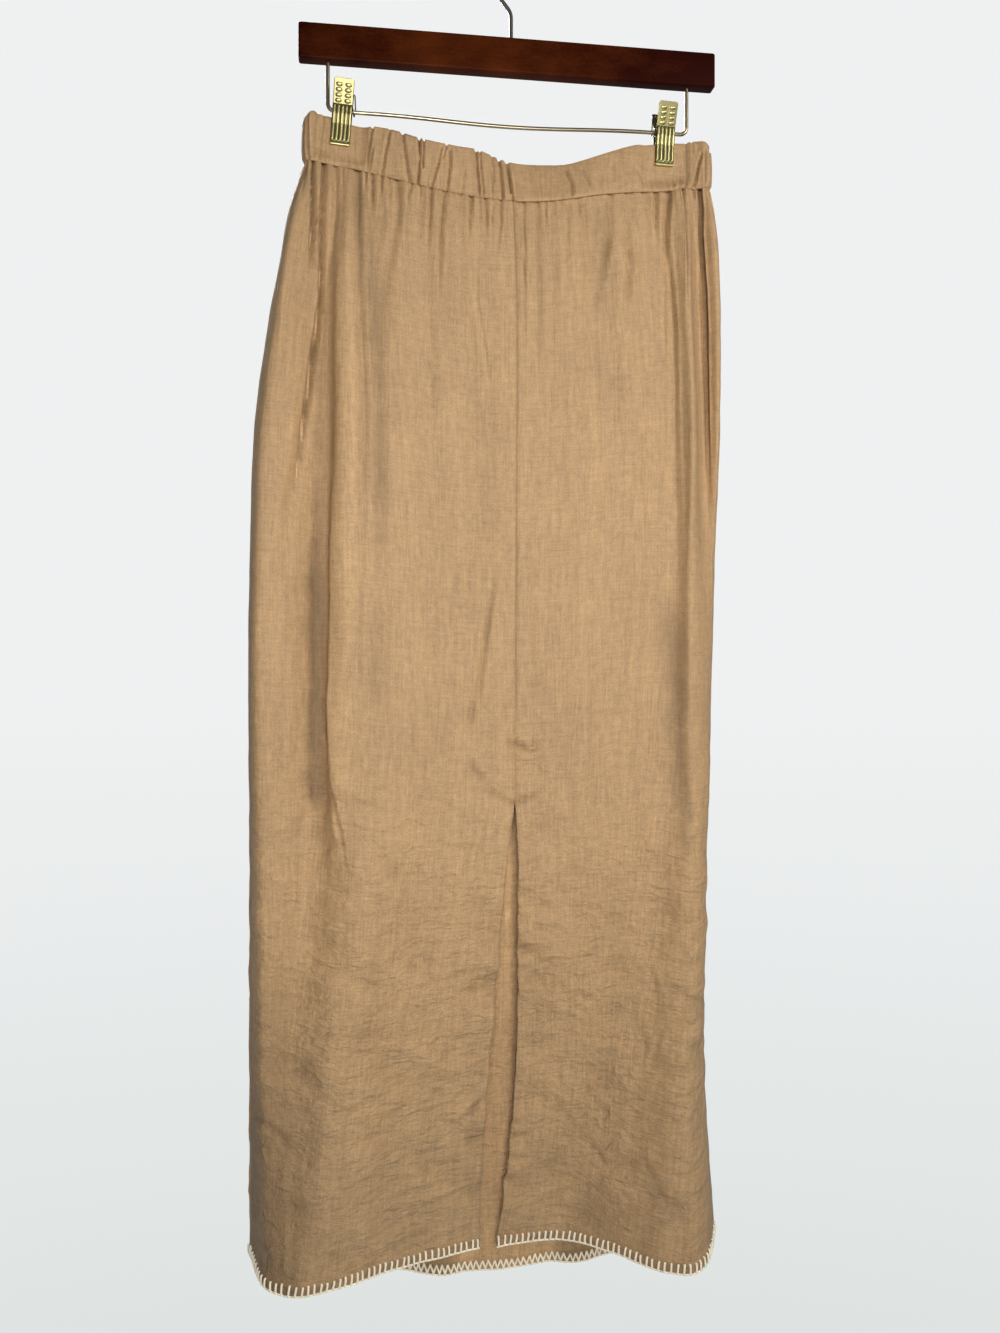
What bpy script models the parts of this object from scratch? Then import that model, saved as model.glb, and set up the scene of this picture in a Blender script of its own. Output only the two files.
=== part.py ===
"""Maxi skirt hung by two clips from a wooden skirt hanger, at real size.

The origin is the inside of the hook's crown, where a rail or nail carries the hanger. +X runs along
the bar to the viewer's right, +Y points to the wall behind the skirt and +Z is up. Tables are in
millimetres, and the objects are made in metres.
"""

import math

import bmesh
import bpy
import numpy as np

MM = 0.001
GAP = 0.3

# The angles over which an edge is shaded sharp
SHARP_CLOTH, SHARP_WOOD = 60.0, 35.0

# The cloth
CLOTH = 1.5
BAND_WALL = 2.6
BAND_PROUD = 0.8
BACK_Y = 14.0
PANEL_LENGTH = 900.0

# Edges that sag between the clips, each a row of (x, z): the waistband's top, the seam under it
# and the hem of the back
BAND_TOP = (
    (-176, -158), (-168, -151.5), (-157, -151.4), (-133, -158), (-103, -162), (-76, -169), (-50, -172.5),
    (-29, -174), (-8, -180.5), (28, -181.5), (49, -179.5), (65, -174.5), (84, -167.8), (103, -161.6),
    (124, -157.5), (150, -155), (168, -155.1), (177, -161),
)
WAIST_SEAM = (
    (-176, -191.5), (-155, -193), (-133, -196), (-98, -203.5), (-67, -210), (-41, -214.2), (-14, -216.5),
    (12, -216.2), (31, -214.3), (51, -211), (71, -206.5), (105, -201), (145, -197), (177, -193),
)
BACK_HEM = (
    (-217, -1092), (-170, -1106), (-130, -1114), (-93, -1119), (-59, -1124), (-25, -1125), (37, -1122),
    (89, -1119), (125, -1112), (155, -1102), (178, -1094),
)

# The hanger
BAR_LENGTH, BAR_DEPTH, BAR_HEIGHT = 356.0, 12.5, 30.0
BAR_TOP = -76.4
BAR_EDGE, BAR_EDGE_STEPS = 2.0, 3
HOOK_WIRE = 1.6
HOOK_RADIUS = 21.0
HOOK_LEAN = 39.0
HOOK_END = -35.0
HOOK_BEND, HOOK_BEND_STEPS, HOOK_STEPS = 5.0, (0.25, 0.5, 0.75), 20
ROD_WIRE = 1.6
ROD_HALF = 154.0
ROD_DROP = 40.0
ROD_BEND = 6.0
ROD_SAG, ROD_SAG_HALF = 3.5, 118.0
ROD_UPRIGHT, ROD_BEND_STEPS, ROD_STEPS = 12.0, 5, 11
SOCKET = 10.0

# The clips: place along the rod, and how far each leans from upright
CLIP_WIDTH, CLIP_PLATE = 16.5, 1.0
CLIP_TOP, CLIP_BEND, CLIP_TIP = 22.0, 4.0, -30.0
SLEEVE_RADIUS, SLEEVE_WALL, SLEEVE_PROUD, SLEEVE_SHORT = 4.4, 2.2, 2.4, 3.0
ROUND_SIDES = 16
CLIPS = (
    {"name": "clip_left", "x": -142.0, "lean": 4.5, "inward": 1},
    {"name": "clip_right", "x": 134.0, "lean": 1.8, "inward": -1},
)
GRIP_HALF, GRIP_FADE = 12.0, 14.0
GRIP_INSIDE = 0.2
GRIP_Y = BAND_WALL + GRIP_INSIDE
JAW_TOP, JAW_SLOPE_TOP, FINGER_SPREAD = -12.0, -4.0, 7.5

# Plan sections of the front. Each named line down the cloth has its share of the way across the
# panel, its height at the hem, and then its (x, y) at each level, from 0, the waist seam, to 1, the hem.
LEVELS = (0.0, 0.04, 0.10, 0.22, 0.40, 0.60, 0.80, 1.0)
FRONT_LEFT_LINES = {
    "side": (
        0.0, -1092,
        (-172, -6), (-183.5, -8), (-192, -9), (-209.5, -11), (-216, -8), (-216, -3), (-216, 0), (-216, 0),
    ),
    "roll": (
        0.16, -1098,
        (-165, -9), (-175, -15), (-184, -19), (-199, -27), (-206, -33), (-206, -37), (-206, -38), (-204, -36),
    ),
    "trough": (
        0.30, -1102,
        (-145, -5), (-148, -7), (-152, -9), (-156, -12), (-155, -16), (-162, -25), (-177, -37), (-190, -45),
    ),
    "ridge": (
        0.40, -1103,
        (-133, -6), (-136, -12), (-138, -17), (-139, -25), (-137, -31), (-140, -38), (-156, -47), (-176, -49),
    ),
    "middle": (
        0.70, -1101,
        (-66, -11), (-67, -15), (-68, -18), (-67, -23), (-66, -27), (-70, -29), (-82, -29), (-94, -24),
    ),
    "centre": (
        1.0, -1097,
        (0, -12), (1, -16), (2, -19), (1, -24), (0, -27), (0, -22), (0, -14), (0, -4),
    ),
}
FRONT_RIGHT_LINES = {
    "centre": (
        0.0, -1097,
        (0, -12), (1, -16), (2, -19), (1, -24), (0, -27), (0, -22), (0, -14), (0, -4),
    ),
    "middle": (
        0.26, -1097,
        (60, -11), (62, -15), (64, -18), (66, -23), (64, -25), (60, -24), (58, -18), (53, 0),
    ),
    "valley": (
        0.50, -1100,
        (128, -6), (131, -10), (133, -14), (137, -20), (132, -24), (121, -26), (104, -26), (88, -27),
    ),
    "ridge": (
        0.70, -1104,
        (149, -9), (151, -15), (152, -20), (154, -27), (150, -32), (148, -38), (142, -46), (122, -54),
    ),
    "fold": (
        0.82, -1103,
        (160, -5), (163, -4), (165, -3), (168, -4), (166, -20), (164, -27), (156, -36), (143, -58),
    ),
    "roll": (
        0.92, -1098,
        (170, -8), (175, -11), (178, -12), (178, -13), (174, -9), (170, -10), (164, -18), (160, -45),
    ),
    "side": (
        1.0, -1094,
        (176, 1), (181, 2), (184, 3), (183, 4), (177, 5), (174, 5), (169, 3), (176, -8),
    ),
}

# The back: shares of its lines, how it is drawn in under the band, and how it turns its corners
BACK_KNOTS = (0.0, 0.05, 0.10, 0.30, 0.50, 0.70, 0.88, 0.95, 1.0)
BACK_DRAWN_IN, BACK_DRAWN_LEVEL = 1.5, 0.15
BACK_TURN = 18.0
CORNER_INSET, CORNER_TURNED, CORNER_PULL = 1.6, 0.58, 2.0

# How far each slit edge stands from the centre line, by level
SLIT_LEVELS = (0.58, 0.63, 0.68, 0.77, 0.87, 0.94, 1.0)
SLIT_LEFT = (0.0, -4.2, -7.6, -16.0, -23.2, -26.6, -27.5)
SLIT_RIGHT = (0.0, 2.6, 2.8, 3.2, 0.0, -6.5, -13.0)
SLIT_FADE = 0.55

# Gathers below the waist seam: place along the seam, depth, and length down the cloth
GATHERS_LEFT = (
    (-166, 1.8, 130), (-158, 2.6, 380), (-130, 2.6, 360), (-117, 1.5, 60), (-107, 1.5, 50),
    (-98, 2.4, 120), (-88, 1.2, 40), (-79, 1.5, 60), (-69, 2.4, 90), (-60, 2.2, 160),
    (-50, 1.2, 50), (-41, 1.5, 50), (-32, 2.4, 170), (-21, 2.4, 110), (-11, 1.6, 90),
)
GATHERS_RIGHT = (
    (8, 1.8, 160), (25, 2.0, 45), (38, 1.2, 40), (52, 1.8, 60), (66, 1.2, 40), (82, 2.4, 110),
    (97, 2.4, 160), (109, 1.2, 40), (120, 2.2, 70), (140, 1.8, 60), (167, 1.2, 60),
)
BACK_HALF = 164.0
UNEVEN_PLACE, UNEVEN_DEPTH, UNEVEN_LENGTH = 0.25, 0.3, 0.65
PLACE_BEAT, DEPTH_BEAT, LENGTH_BEAT, LENGTH_PHASE = 5.1, 2.3, 1.7, 1.0
BACK_GATHERS, BACK_GATHER_DEPTH, BACK_GATHER_LENGTH = 20, 1.9, 90.0

# Soft folds down the back, each at a share of its width with its depth
BACK_FOLDS = ((0.20, 4.0), (0.36, 5.0), (0.55, 4.0), (0.72, 5.0), (0.84, 3.5))
BACK_FOLD_HALF, BACK_FOLD_LEVEL = 0.055, 0.2
PANEL_ROWS = (0, 0.014, 0.04, 0.075, 0.12, 0.18, 0.25, 0.33, 0.42, 0.50, 0.58, 0.66, 0.75, 0.83, 0.92, 1)
FINE_ROWS = 5
FRONT_COLUMNS, BACK_COLUMNS = 48, 64
TANGENT_STEP = 1e-3
SHARE_SAMPLES, LOOP_SAMPLES = 400, 240

# Creases of the waistband: where each stands on the front, with its depth
BAND_CREASES = (
    (-165, 1.4), (-160, 1.2), (-154, 1.3), (-130, 0.9), (-119, 1.3), (-106, 1.1), (-86, 1.2), (-75, 1.4),
    (-62, 1.2), (-52, 1.4), (-38, 0.9), (-25, 1.4), (-14, 0.7), (-5, 1.3), (3, 1.1), (47, 1.3), (68, 0.7),
    (97, 0.5), (113, 0.7), (149, 1.4), (155, 1.1), (160, 1.4), (167, 1.2),
)
BAND_BACK_CREASES, BAND_BACK_DEPTH = 24, 1.1
CREASE_SHOULDER = 0.45
CREASE_UNDER_CLIP = 0.15
BAND_COLUMNS = 216
BAND_ROWS = (0.0, 0.36, 0.72, 1.0)
GRIP_RISE = 0.36
BAND_LEAN = 9.0
BAND_LEAN_SPAN = (25.0, 110.0)

COLOURS = {
    "linen": ((0.47, 0.31, 0.165), 0.9, 0.0),
    "mahogany": ((0.075, 0.016, 0.006), 0.35, 0.0),
    "nickel": ((0.5, 0.49, 0.46), 0.25, 1.0),
    "champagne": ((0.6, 0.52, 0.38), 0.28, 1.0),
    "brass": ((0.62, 0.55, 0.33), 0.3, 1.0),
}


def material(name):
    made = bpy.data.materials.get(name)
    if made:
        return made
    colour, roughness, metallic = COLOURS[name]
    made = bpy.data.materials.new(name)
    made.use_nodes = True
    shader = made.node_tree.nodes["Principled BSDF"]
    shader.inputs["Base Color"].default_value = (*colour, 1.0)
    shader.inputs["Roughness"].default_value = roughness
    shader.inputs["Metallic"].default_value = metallic
    return made


def place(name, data, finish):
    made = bpy.data.objects.new(name, data)
    bpy.context.scene.collection.objects.link(made)
    data.materials.append(material(finish))
    return made


def smooth(t):
    t = np.clip(t, 0.0, 1.0)
    return t * t * (3 - 2 * t)


def spline(knots, values, t):
    """A smooth curve through values at knots, read at t."""
    knots, values, t = np.asarray(knots, float), np.asarray(values, float), np.asarray(t, float)
    steps = np.diff(knots)
    slopes = np.diff(values, axis=0) / steps[:, None]
    weighted = slopes[:-1] * steps[1:, None] + slopes[1:] * steps[:-1, None]
    inner = weighted / (steps[:-1] + steps[1:])[:, None]
    tangents = np.concatenate([slopes[:1], inner, slopes[-1:]])
    i = np.clip(np.searchsorted(knots, t, side="right") - 1, 0, len(knots) - 2)
    h = steps[i][:, None]
    s = ((t - knots[i]) / steps[i])[:, None]
    return (
        values[i] * (1 + 2 * s) * (1 - s) ** 2
        + tangents[i] * h * s * (1 - s) ** 2
        + values[i + 1] * s * s * (3 - 2 * s)
        + tangents[i + 1] * h * s * s * (s - 1)
    )


def edge_height(edge, x):
    """The height of a sagging edge at x."""
    edge = np.array(edge, float)
    return spline(edge[:, 0], edge[:, 1:], np.clip(x, edge[0, 0], edge[-1, 0]))[:, 0]


def dip(x, centre, reach):
    """1 at the centre, falling smoothly to 0 this far to each side."""
    return np.cos(np.clip((x - centre) / reach, -1, 1) * math.pi / 2) ** 2


def raised_cosine(t):
    return np.where(np.abs(t) < 1, 0.5 + 0.5 * np.cos(np.clip(t, -1, 1) * math.pi), 0.0)


def lines_at(lines, level):
    """The knots and the (x, y) of each named line of a panel at this level."""
    knots = [line[0] for line in lines.values()]
    points = [spline(LEVELS, line[2:], [level])[0] for line in lines.values()]
    return knots, np.array(points)


def back_lines_at(level):
    """The back hangs flat by the wall, from the right side seam round to the left one."""
    right = lines_at(FRONT_RIGHT_LINES, level)[1][-1]
    left = lines_at(FRONT_LEFT_LINES, level)[1][0]
    depth = BACK_Y - BACK_DRAWN_IN * (1 - smooth(level / BACK_DRAWN_LEVEL))
    across = np.linspace(right[0] - BACK_TURN, left[0] + BACK_TURN, len(BACK_KNOTS) - 4)
    turned = CORNER_TURNED * depth - CORNER_PULL
    points = [
        right,
        (right[0] - CORNER_INSET, (1 - CORNER_TURNED) * right[1] + turned),
        *[(x, depth) for x in across],
        (left[0] - CORNER_INSET, (1 - CORNER_TURNED) * left[1] + turned),
        left,
    ]
    return BACK_KNOTS, np.array(points)


def plan(panel, level, shares):
    """Outer points in plan, and the directions that point out of the cloth, at one level."""
    knots, points = back_lines_at(level) if panel["lines"] is None else lines_at(panel["lines"], level)
    curve = spline(knots, points, shares)
    ahead = spline(knots, points, np.clip(shares + TANGENT_STEP, 0, 1))
    behind = spline(knots, points, np.clip(shares - TANGENT_STEP, 0, 1))
    tangent = ahead - behind
    tangent /= np.linalg.norm(tangent, axis=1)[:, None]
    outward = np.stack([tangent[:, 1], -tangent[:, 0]], axis=1)
    return curve, outward


def share_of(panel, x):
    """The share across a panel of the column that starts at x on the waist seam."""
    shares = np.linspace(0, 1, SHARE_SAMPLES)
    curve = plan(panel, 0.0, shares)[0][:, 0]
    order = np.argsort(curve)
    return float(np.interp(x, curve[order], shares[order]))


def gathers_of(panel):
    """(share, depth, level where it has faded) for each gather, snapped to a column."""
    columns = panel["columns"]
    for x, depth, length in panel["gathers"]:
        column = round(share_of(panel, x) * columns)
        yield min(max(column, 1), columns - 1) / columns, depth, length / PANEL_LENGTH


def relief(panel, level, shares):
    """How far the gathers and soft folds draw the cloth in."""
    width = 2.0 / panel["columns"]
    drawn = np.zeros_like(shares)
    for share, depth, reach in panel["placed"]:
        drawn -= depth * (1 - smooth(level / reach)) * raised_cosine((shares - share) / width)
    for share, depth in panel["folds"]:
        drawn -= depth * smooth(level / BACK_FOLD_LEVEL) * raised_cosine((shares - share) / BACK_FOLD_HALF)
    return drawn


def slit_shift(panel, level, shares):
    if panel["slit"] is None:
        return np.zeros_like(shares)
    opened = np.interp(level, SLIT_LEVELS, panel["slit"])
    from_edge = np.abs(shares - panel["edge_share"])
    return opened * (1 - smooth(from_edge / SLIT_FADE))


def hem_height(panel, shares):
    if panel["lines"] is None:
        return edge_height(BACK_HEM, plan(panel, 1.0, shares)[0][:, 0])
    lines = np.array([line[:2] for line in panel["lines"].values()], float)
    return spline(lines[:, 0], lines[:, 1:], shares)[:, 0]


def seam_facing(before, after, level):
    """The direction that halves the corner where one panel ends and the next begins."""
    halved = plan(before, level, np.ones(1))[1][0] + plan(after, level, np.zeros(1))[1][0]
    return halved / np.linalg.norm(halved)


def panel_row(panel, level, shares):
    """Outer and inner points of one row of a panel, in millimetres."""
    curve, outward = plan(panel, level, shares)
    outward[0] = seam_facing(panel["before"], panel, level)
    outward[-1] = seam_facing(panel, panel["after"], level)
    top = plan(panel, 0.0, shares)[0]
    outer = curve + outward * relief(panel, level, shares)[:, None]
    outer[:, 0] += slit_shift(panel, level, shares)
    inner = outer - outward * CLOTH
    ends = ((0, 1), (-1, -1))
    for points in (outer, inner):
        for end, direction in ends:
            along = np.array([-outward[end, 1], outward[end, 0]])
            points[end] += along * direction * GAP / 2
    rows = []
    for points in (outer, inner):
        start = edge_height(WAIST_SEAM, points[:, 0] if level == 0 else top[:, 0]) - GAP / 2
        height = start + level * (hem_height(panel, shares) - start)
        rows.append(np.column_stack([points, height]))
    return rows


def join_rows(mesh, upper, lower, closed):
    """Faces between two rows of vertices, the lower one with as many columns or half of them."""
    if len(upper) == len(lower):
        count = len(upper) if closed else len(upper) - 1
        for i in range(count):
            j = (i + 1) % len(upper)
            mesh.faces.new((upper[i], upper[j], lower[j], lower[i]))
        return
    for i in range(len(lower) - 1):
        a, b, c = upper[2 * i : 2 * i + 3]
        mesh.faces.new((a, b, lower[i]))
        mesh.faces.new((b, lower[i + 1], lower[i]))
        mesh.faces.new((b, c, lower[i + 1]))


def wall(name, rows, finish, closed=False):
    """One closed cloth wall from its (outer, inner) rows, top row first."""
    mesh = bmesh.new()
    outer = [[mesh.verts.new(p * MM) for p in row[0]] for row in rows]
    inner = [[mesh.verts.new(p * MM) for p in row[1]] for row in rows]
    for side in (outer, inner):
        for upper, lower in zip(side, side[1:]):
            join_rows(mesh, upper, lower, closed)
    join_rows(mesh, outer[0], inner[0], closed)
    join_rows(mesh, outer[-1], inner[-1], closed)
    if not closed:
        for end in (0, -1):
            join_rows(mesh, [row[end] for row in outer], [row[end] for row in inner], False)
    bmesh.ops.recalc_face_normals(mesh, faces=mesh.faces)
    data = bpy.data.meshes.new(name)
    mesh.to_mesh(data)
    mesh.free()
    data.shade_smooth()
    data.set_sharp_from_angle(angle=math.radians(SHARP_CLOTH))
    return place(name, data, finish)


def scattered(count, depth):
    """Uneven places across the back, from its right to its left, each with an uneven depth."""
    for i in range(count):
        x = BACK_HALF - 2 * BACK_HALF * (i + 0.5 + UNEVEN_PLACE * math.sin(PLACE_BEAT * i)) / count
        yield x, depth * (1 + UNEVEN_DEPTH * math.sin(DEPTH_BEAT * i))


def back_gathers():
    for i, (x, depth) in enumerate(scattered(BACK_GATHERS, BACK_GATHER_DEPTH)):
        uneven = 1 + UNEVEN_LENGTH * math.sin(LENGTH_BEAT * i + LENGTH_PHASE)
        yield x, depth, BACK_GATHER_LENGTH * uneven


def panels():
    made = (
        {
            "name": "front_left", "lines": FRONT_LEFT_LINES, "columns": FRONT_COLUMNS,
            "gathers": GATHERS_LEFT, "folds": (), "slit": SLIT_LEFT, "edge_share": 1.0,
        },
        {
            "name": "front_right", "lines": FRONT_RIGHT_LINES, "columns": FRONT_COLUMNS,
            "gathers": GATHERS_RIGHT, "folds": (), "slit": SLIT_RIGHT, "edge_share": 0.0,
        },
        {
            "name": "back", "lines": None, "columns": BACK_COLUMNS,
            "gathers": tuple(back_gathers()), "folds": BACK_FOLDS, "slit": None, "edge_share": 0.0,
        },
    )
    for i, panel in enumerate(made):
        panel["placed"] = tuple(gathers_of(panel))
        panel["before"] = made[i - 1]
        panel["after"] = made[(i + 1) % len(made)]
    return made


def build_panel(panel):
    rows = []
    for i, level in enumerate(PANEL_ROWS):
        columns = panel["columns"] if i < FINE_ROWS else panel["columns"] // 2
        rows.append(panel_row(panel, level, np.linspace(0, 1, columns + 1)))
    wall(panel["name"], rows, "linen")


def seam_loop(made):
    """The closed curve of the waist seam, walked by its own length: points and outward directions."""
    parts = [plan(panel, 0.0, np.linspace(0, 1, LOOP_SAMPLES)) for panel in made]
    points = np.concatenate([part[0][:-1] for part in parts])
    outward = np.concatenate([part[1][:-1] for part in parts])
    closed = np.concatenate([points, points[:1]])
    lengths = np.concatenate([[0], np.cumsum(np.linalg.norm(np.diff(closed, axis=0), axis=1))])
    wanted = np.arange(BAND_COLUMNS) / BAND_COLUMNS * lengths[-1]
    outward = np.concatenate([outward, outward[:1]])
    walked = [np.interp(wanted, lengths, closed[:, k]) for k in (0, 1)]
    facing = [np.interp(wanted, lengths, outward[:, k]) for k in (0, 1)]
    facing = np.stack(facing, axis=1)
    return np.stack(walked, axis=1), facing / np.linalg.norm(facing, axis=1)[:, None]


def grip(x):
    """1 where a clip presses the waistband flat, 0 away from the clips."""
    return sum(1 - smooth((np.abs(x - clip["x"]) - GRIP_HALF) / GRIP_FADE) for clip in CLIPS)


def band_creases(points):
    """How far the creases draw in each column of the waistband."""
    x, front = points[:, 0], points[:, 1] < 0
    drawn = np.zeros(len(points))
    back = scattered(BAND_BACK_CREASES, BAND_BACK_DEPTH)
    for places, side in ((BAND_CREASES, front), (back, ~front)):
        for at, depth in places:
            column = np.argmin(np.where(side, np.abs(x - at), np.inf))
            drawn[column] = max(drawn[column], depth)
            for near in (column - 1, (column + 1) % len(x)):
                drawn[near] = max(drawn[near], CREASE_SHOULDER * depth)
    return drawn


def build_waistband(made):
    """The elastic casing: a ring that the clips pinch flat and that sags and leans back between them."""
    loop, facing = seam_loop(made)
    side = np.where(loop[:, 1] < 0, -1.0, 1.0)
    creases = band_creases(loop)
    held = grip(loop[:, 0])
    rows = []
    for level in BAND_ROWS[::-1]:
        base = loop + facing * BAND_PROUD
        leaned = base[:, 1] + level * BAND_LEAN * dip(base[:, 0], *BAND_LEAN_SPAN) * (side < 0)
        pinched = held * smooth(level / GRIP_RISE)
        base[:, 1] = leaned * (1 - pinched) + side * GRIP_Y * pinched
        shallow = creases * (1 - (1 - CREASE_UNDER_CLIP) * held)
        outer = base - facing * shallow[:, None]
        inner = base - facing * BAND_WALL
        flat = pinched[:, None]
        inner = inner * (1 - flat) + np.column_stack([inner[:, 0], side * GRIP_INSIDE]) * flat
        row = []
        for points in (outer, inner):
            low = edge_height(WAIST_SEAM, points[:, 0]) + GAP / 2
            high = edge_height(BAND_TOP, points[:, 0])
            row.append(np.column_stack([points, low + level * (high - low)]))
        rows.append(row)
    wall("waistband", rows, "linen", closed=True)


def arc(centre, radius, start, stop, count):
    """Points on an arc in the XZ plane, angles in degrees."""
    angles = np.radians(np.linspace(start, stop, count))
    return [(centre[0] + radius * math.cos(a), 0.0, centre[1] + radius * math.sin(a)) for a in angles]


def wire(name, points, radius, finish):
    curve = bpy.data.curves.new(name, "CURVE")
    curve.dimensions = "3D"
    curve.bevel_depth = radius * MM
    curve.bevel_resolution = 2
    curve.use_fill_caps = True
    line = curve.splines.new("POLY")
    line.points.add(len(points) - 1)
    for point, (x, y, z) in zip(line.points, points):
        point.co = (x * MM, y * MM, z * MM, 1.0)
    return place(name, curve, finish)


def build_hook():
    """A round hook over the shank's line, reached by a straight run that leans to the left."""
    middle = -HOOK_RADIUS + HOOK_WIRE
    lean = math.radians(HOOK_LEAN)
    meet = (-HOOK_RADIUS * math.cos(lean), middle - HOOK_RADIUS * math.sin(lean))
    bend = meet[1] - abs(meet[0]) / math.tan(lean)
    toward = np.array([meet[0], meet[1] - bend])
    toward /= np.linalg.norm(toward)
    start, corner = np.array([0, bend - HOOK_BEND]), np.array([0, bend])
    end = corner + toward * HOOK_BEND
    points = [(0, 0, BAR_TOP - SOCKET), (0, 0, start[1])]
    for t in HOOK_BEND_STEPS:
        x, z = start * (1 - t) ** 2 + corner * 2 * t * (1 - t) + end * t * t
        points.append((x, 0, z))
    points.append((end[0], 0, end[1]))
    points += arc((0, middle), HOOK_RADIUS, 180 + HOOK_LEAN, HOOK_END, HOOK_STEPS)
    wire("hanger_hook", points, HOOK_WIRE, "nickel")


def rod_level():
    return BAR_TOP - BAR_HEIGHT - ROD_DROP


def build_rod():
    """The wire that carries the clips: down from the bar's ends and across, bowed by the skirt's weight."""
    low = rod_level()
    top = BAR_TOP - BAR_HEIGHT + SOCKET
    turn = low + ROD_BEND
    points = [(-ROD_HALF, 0, top), (-ROD_HALF, 0, turn + ROD_UPRIGHT)]
    points += arc((-ROD_HALF + ROD_BEND, turn), ROD_BEND, 180, 270, ROD_BEND_STEPS)
    for x in np.linspace(-ROD_SAG_HALF, ROD_SAG_HALF, ROD_STEPS):
        points.append((x, 0, low - ROD_SAG * math.cos(x / ROD_SAG_HALF * math.pi / 2) ** 2))
    points += arc((ROD_HALF - ROD_BEND, turn), ROD_BEND, 270, 360, ROD_BEND_STEPS)
    points += [(ROD_HALF, 0, turn + ROD_UPRIGHT), (ROD_HALF, 0, top)]
    wire("hanger_rod", points, ROD_WIRE, "champagne")


def cylinder(name, radius, length, centre, along_x=False):
    mesh = bmesh.new()
    bmesh.ops.create_cone(
        mesh, cap_ends=True, segments=ROUND_SIDES, radius1=radius * MM, radius2=radius * MM, depth=length * MM
    )
    data = bpy.data.meshes.new(name)
    mesh.to_mesh(data)
    mesh.free()
    made = bpy.data.objects.new(name, data)
    bpy.context.scene.collection.objects.link(made)
    made.location = [c * MM for c in centre]
    if along_x:
        made.rotation_euler = (0, math.pi / 2, 0)
    return made


def cut(made, cutter):
    cutter.hide_render = True
    cutter.display_type = "WIRE"
    modifier = made.modifiers.new("cut", "BOOLEAN")
    modifier.operation = "DIFFERENCE"
    modifier.object = cutter


def build_bar():
    mesh = bmesh.new()
    bmesh.ops.create_cube(mesh, size=1.0)
    bmesh.ops.scale(mesh, vec=(BAR_LENGTH * MM, BAR_DEPTH * MM, BAR_HEIGHT * MM), verts=mesh.verts)
    bmesh.ops.bevel(
        mesh, geom=mesh.edges[:], offset=BAR_EDGE * MM, segments=BAR_EDGE_STEPS, profile=0.5, affect="EDGES"
    )
    data = bpy.data.meshes.new("hanger_bar")
    mesh.to_mesh(data)
    mesh.free()
    bar = place("hanger_bar", data, "mahogany")
    bar.location = (0, 0, (BAR_TOP - BAR_HEIGHT / 2) * MM)
    data.shade_smooth()
    data.set_sharp_from_angle(angle=math.radians(SHARP_WOOD))
    holes = (
        ("hook_socket", 0.0, BAR_TOP, HOOK_WIRE),
        ("left_socket", -ROD_HALF, BAR_TOP - BAR_HEIGHT, ROD_WIRE),
        ("right_socket", ROD_HALF, BAR_TOP - BAR_HEIGHT, ROD_WIRE),
    )
    for name, x, z, radius in holes:
        cut(bar, cylinder(name, radius + GAP, 2 * (SOCKET + GAP), (x, 0, z)))


def plate_outline():
    """Inner face of a clip's plate, as (distance from the mid-plane, height above the rod)."""
    jaw = GRIP_Y + GAP
    seat = SLEEVE_RADIUS + GAP
    return [
        (jaw, CLIP_TIP), (jaw, JAW_TOP), (seat, JAW_SLOPE_TOP), (seat, CLIP_BEND),
        (seat + FINGER_SPREAD, CLIP_TOP),
    ]


def thickened(outline, thickness):
    """The outline closed into a strip of this thickness, on the side away from the mid-plane."""
    points = np.array(outline, float)
    runs = np.diff(points, axis=0)
    normals = np.stack([runs[:, 1], -runs[:, 0]], axis=1) / np.linalg.norm(runs, axis=1)[:, None]
    corners = [normals[0], *[(a + b) / (1 + a @ b) for a, b in zip(normals, normals[1:])], normals[-1]]
    return [*map(tuple, points), *map(tuple, (points + np.array(corners) * thickness)[::-1])]


def build_plate(clip, side, label):
    section = thickened(plate_outline(), CLIP_PLATE)
    mesh = bmesh.new()
    ends = []
    for x in (-CLIP_WIDTH / 2, CLIP_WIDTH / 2):
        ends.append([mesh.verts.new((x * MM, side * out * MM, up * MM)) for out, up in section])
    join_rows(mesh, ends[0], ends[1], True)
    mesh.faces.new(ends[0])
    mesh.faces.new(ends[1])
    bmesh.ops.recalc_face_normals(mesh, faces=mesh.faces)
    data = bpy.data.meshes.new(label)
    mesh.to_mesh(data)
    mesh.free()
    plate = place(f"{clip['name']}_{label}", data, "brass")
    plate.location = (clip["x"] * MM, 0, rod_level() * MM)
    plate.rotation_euler = (0, math.radians(clip["lean"]), 0)


def build_sleeve(clip):
    """The sleeve that rides on the rod between the plates, and shows past them on its inner side."""
    name = f"{clip['name']}_sleeve"
    length = CLIP_WIDTH - SLEEVE_SHORT + SLEEVE_PROUD
    shift = (SLEEVE_SHORT + SLEEVE_PROUD) / 2
    centre = (clip["x"] + clip["inward"] * shift, 0, rod_level())
    sleeve = cylinder(name, SLEEVE_RADIUS, length, centre, along_x=True)
    sleeve.data.materials.append(material("brass"))
    bore = cylinder(f"{name}_bore", SLEEVE_RADIUS - SLEEVE_WALL, 2 * length, centre, along_x=True)
    cut(sleeve, bore)


def main():
    for old in list(bpy.data.objects):
        bpy.data.objects.remove(old, do_unlink=True)
    made = panels()
    for panel in made:
        build_panel(panel)
    build_waistband(made)
    build_bar()
    build_hook()
    build_rod()
    for clip in CLIPS:
        build_plate(clip, -1, "front")
        build_plate(clip, 1, "back")
        build_sleeve(clip)


main()
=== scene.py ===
"""The looks of the maxi skirt on its clip hanger: cloth, sewing, wood and metal over the CAD frame.

The frame is the part's own: the origin is the inside of the hook's crown, +X runs along the bar to the
viewer's right, +Y points to the wall behind and +Z is up. Tables are in millimetres.
"""

import math

import bmesh
import bpy
import numpy as np
from mathutils import Matrix, Vector


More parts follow.
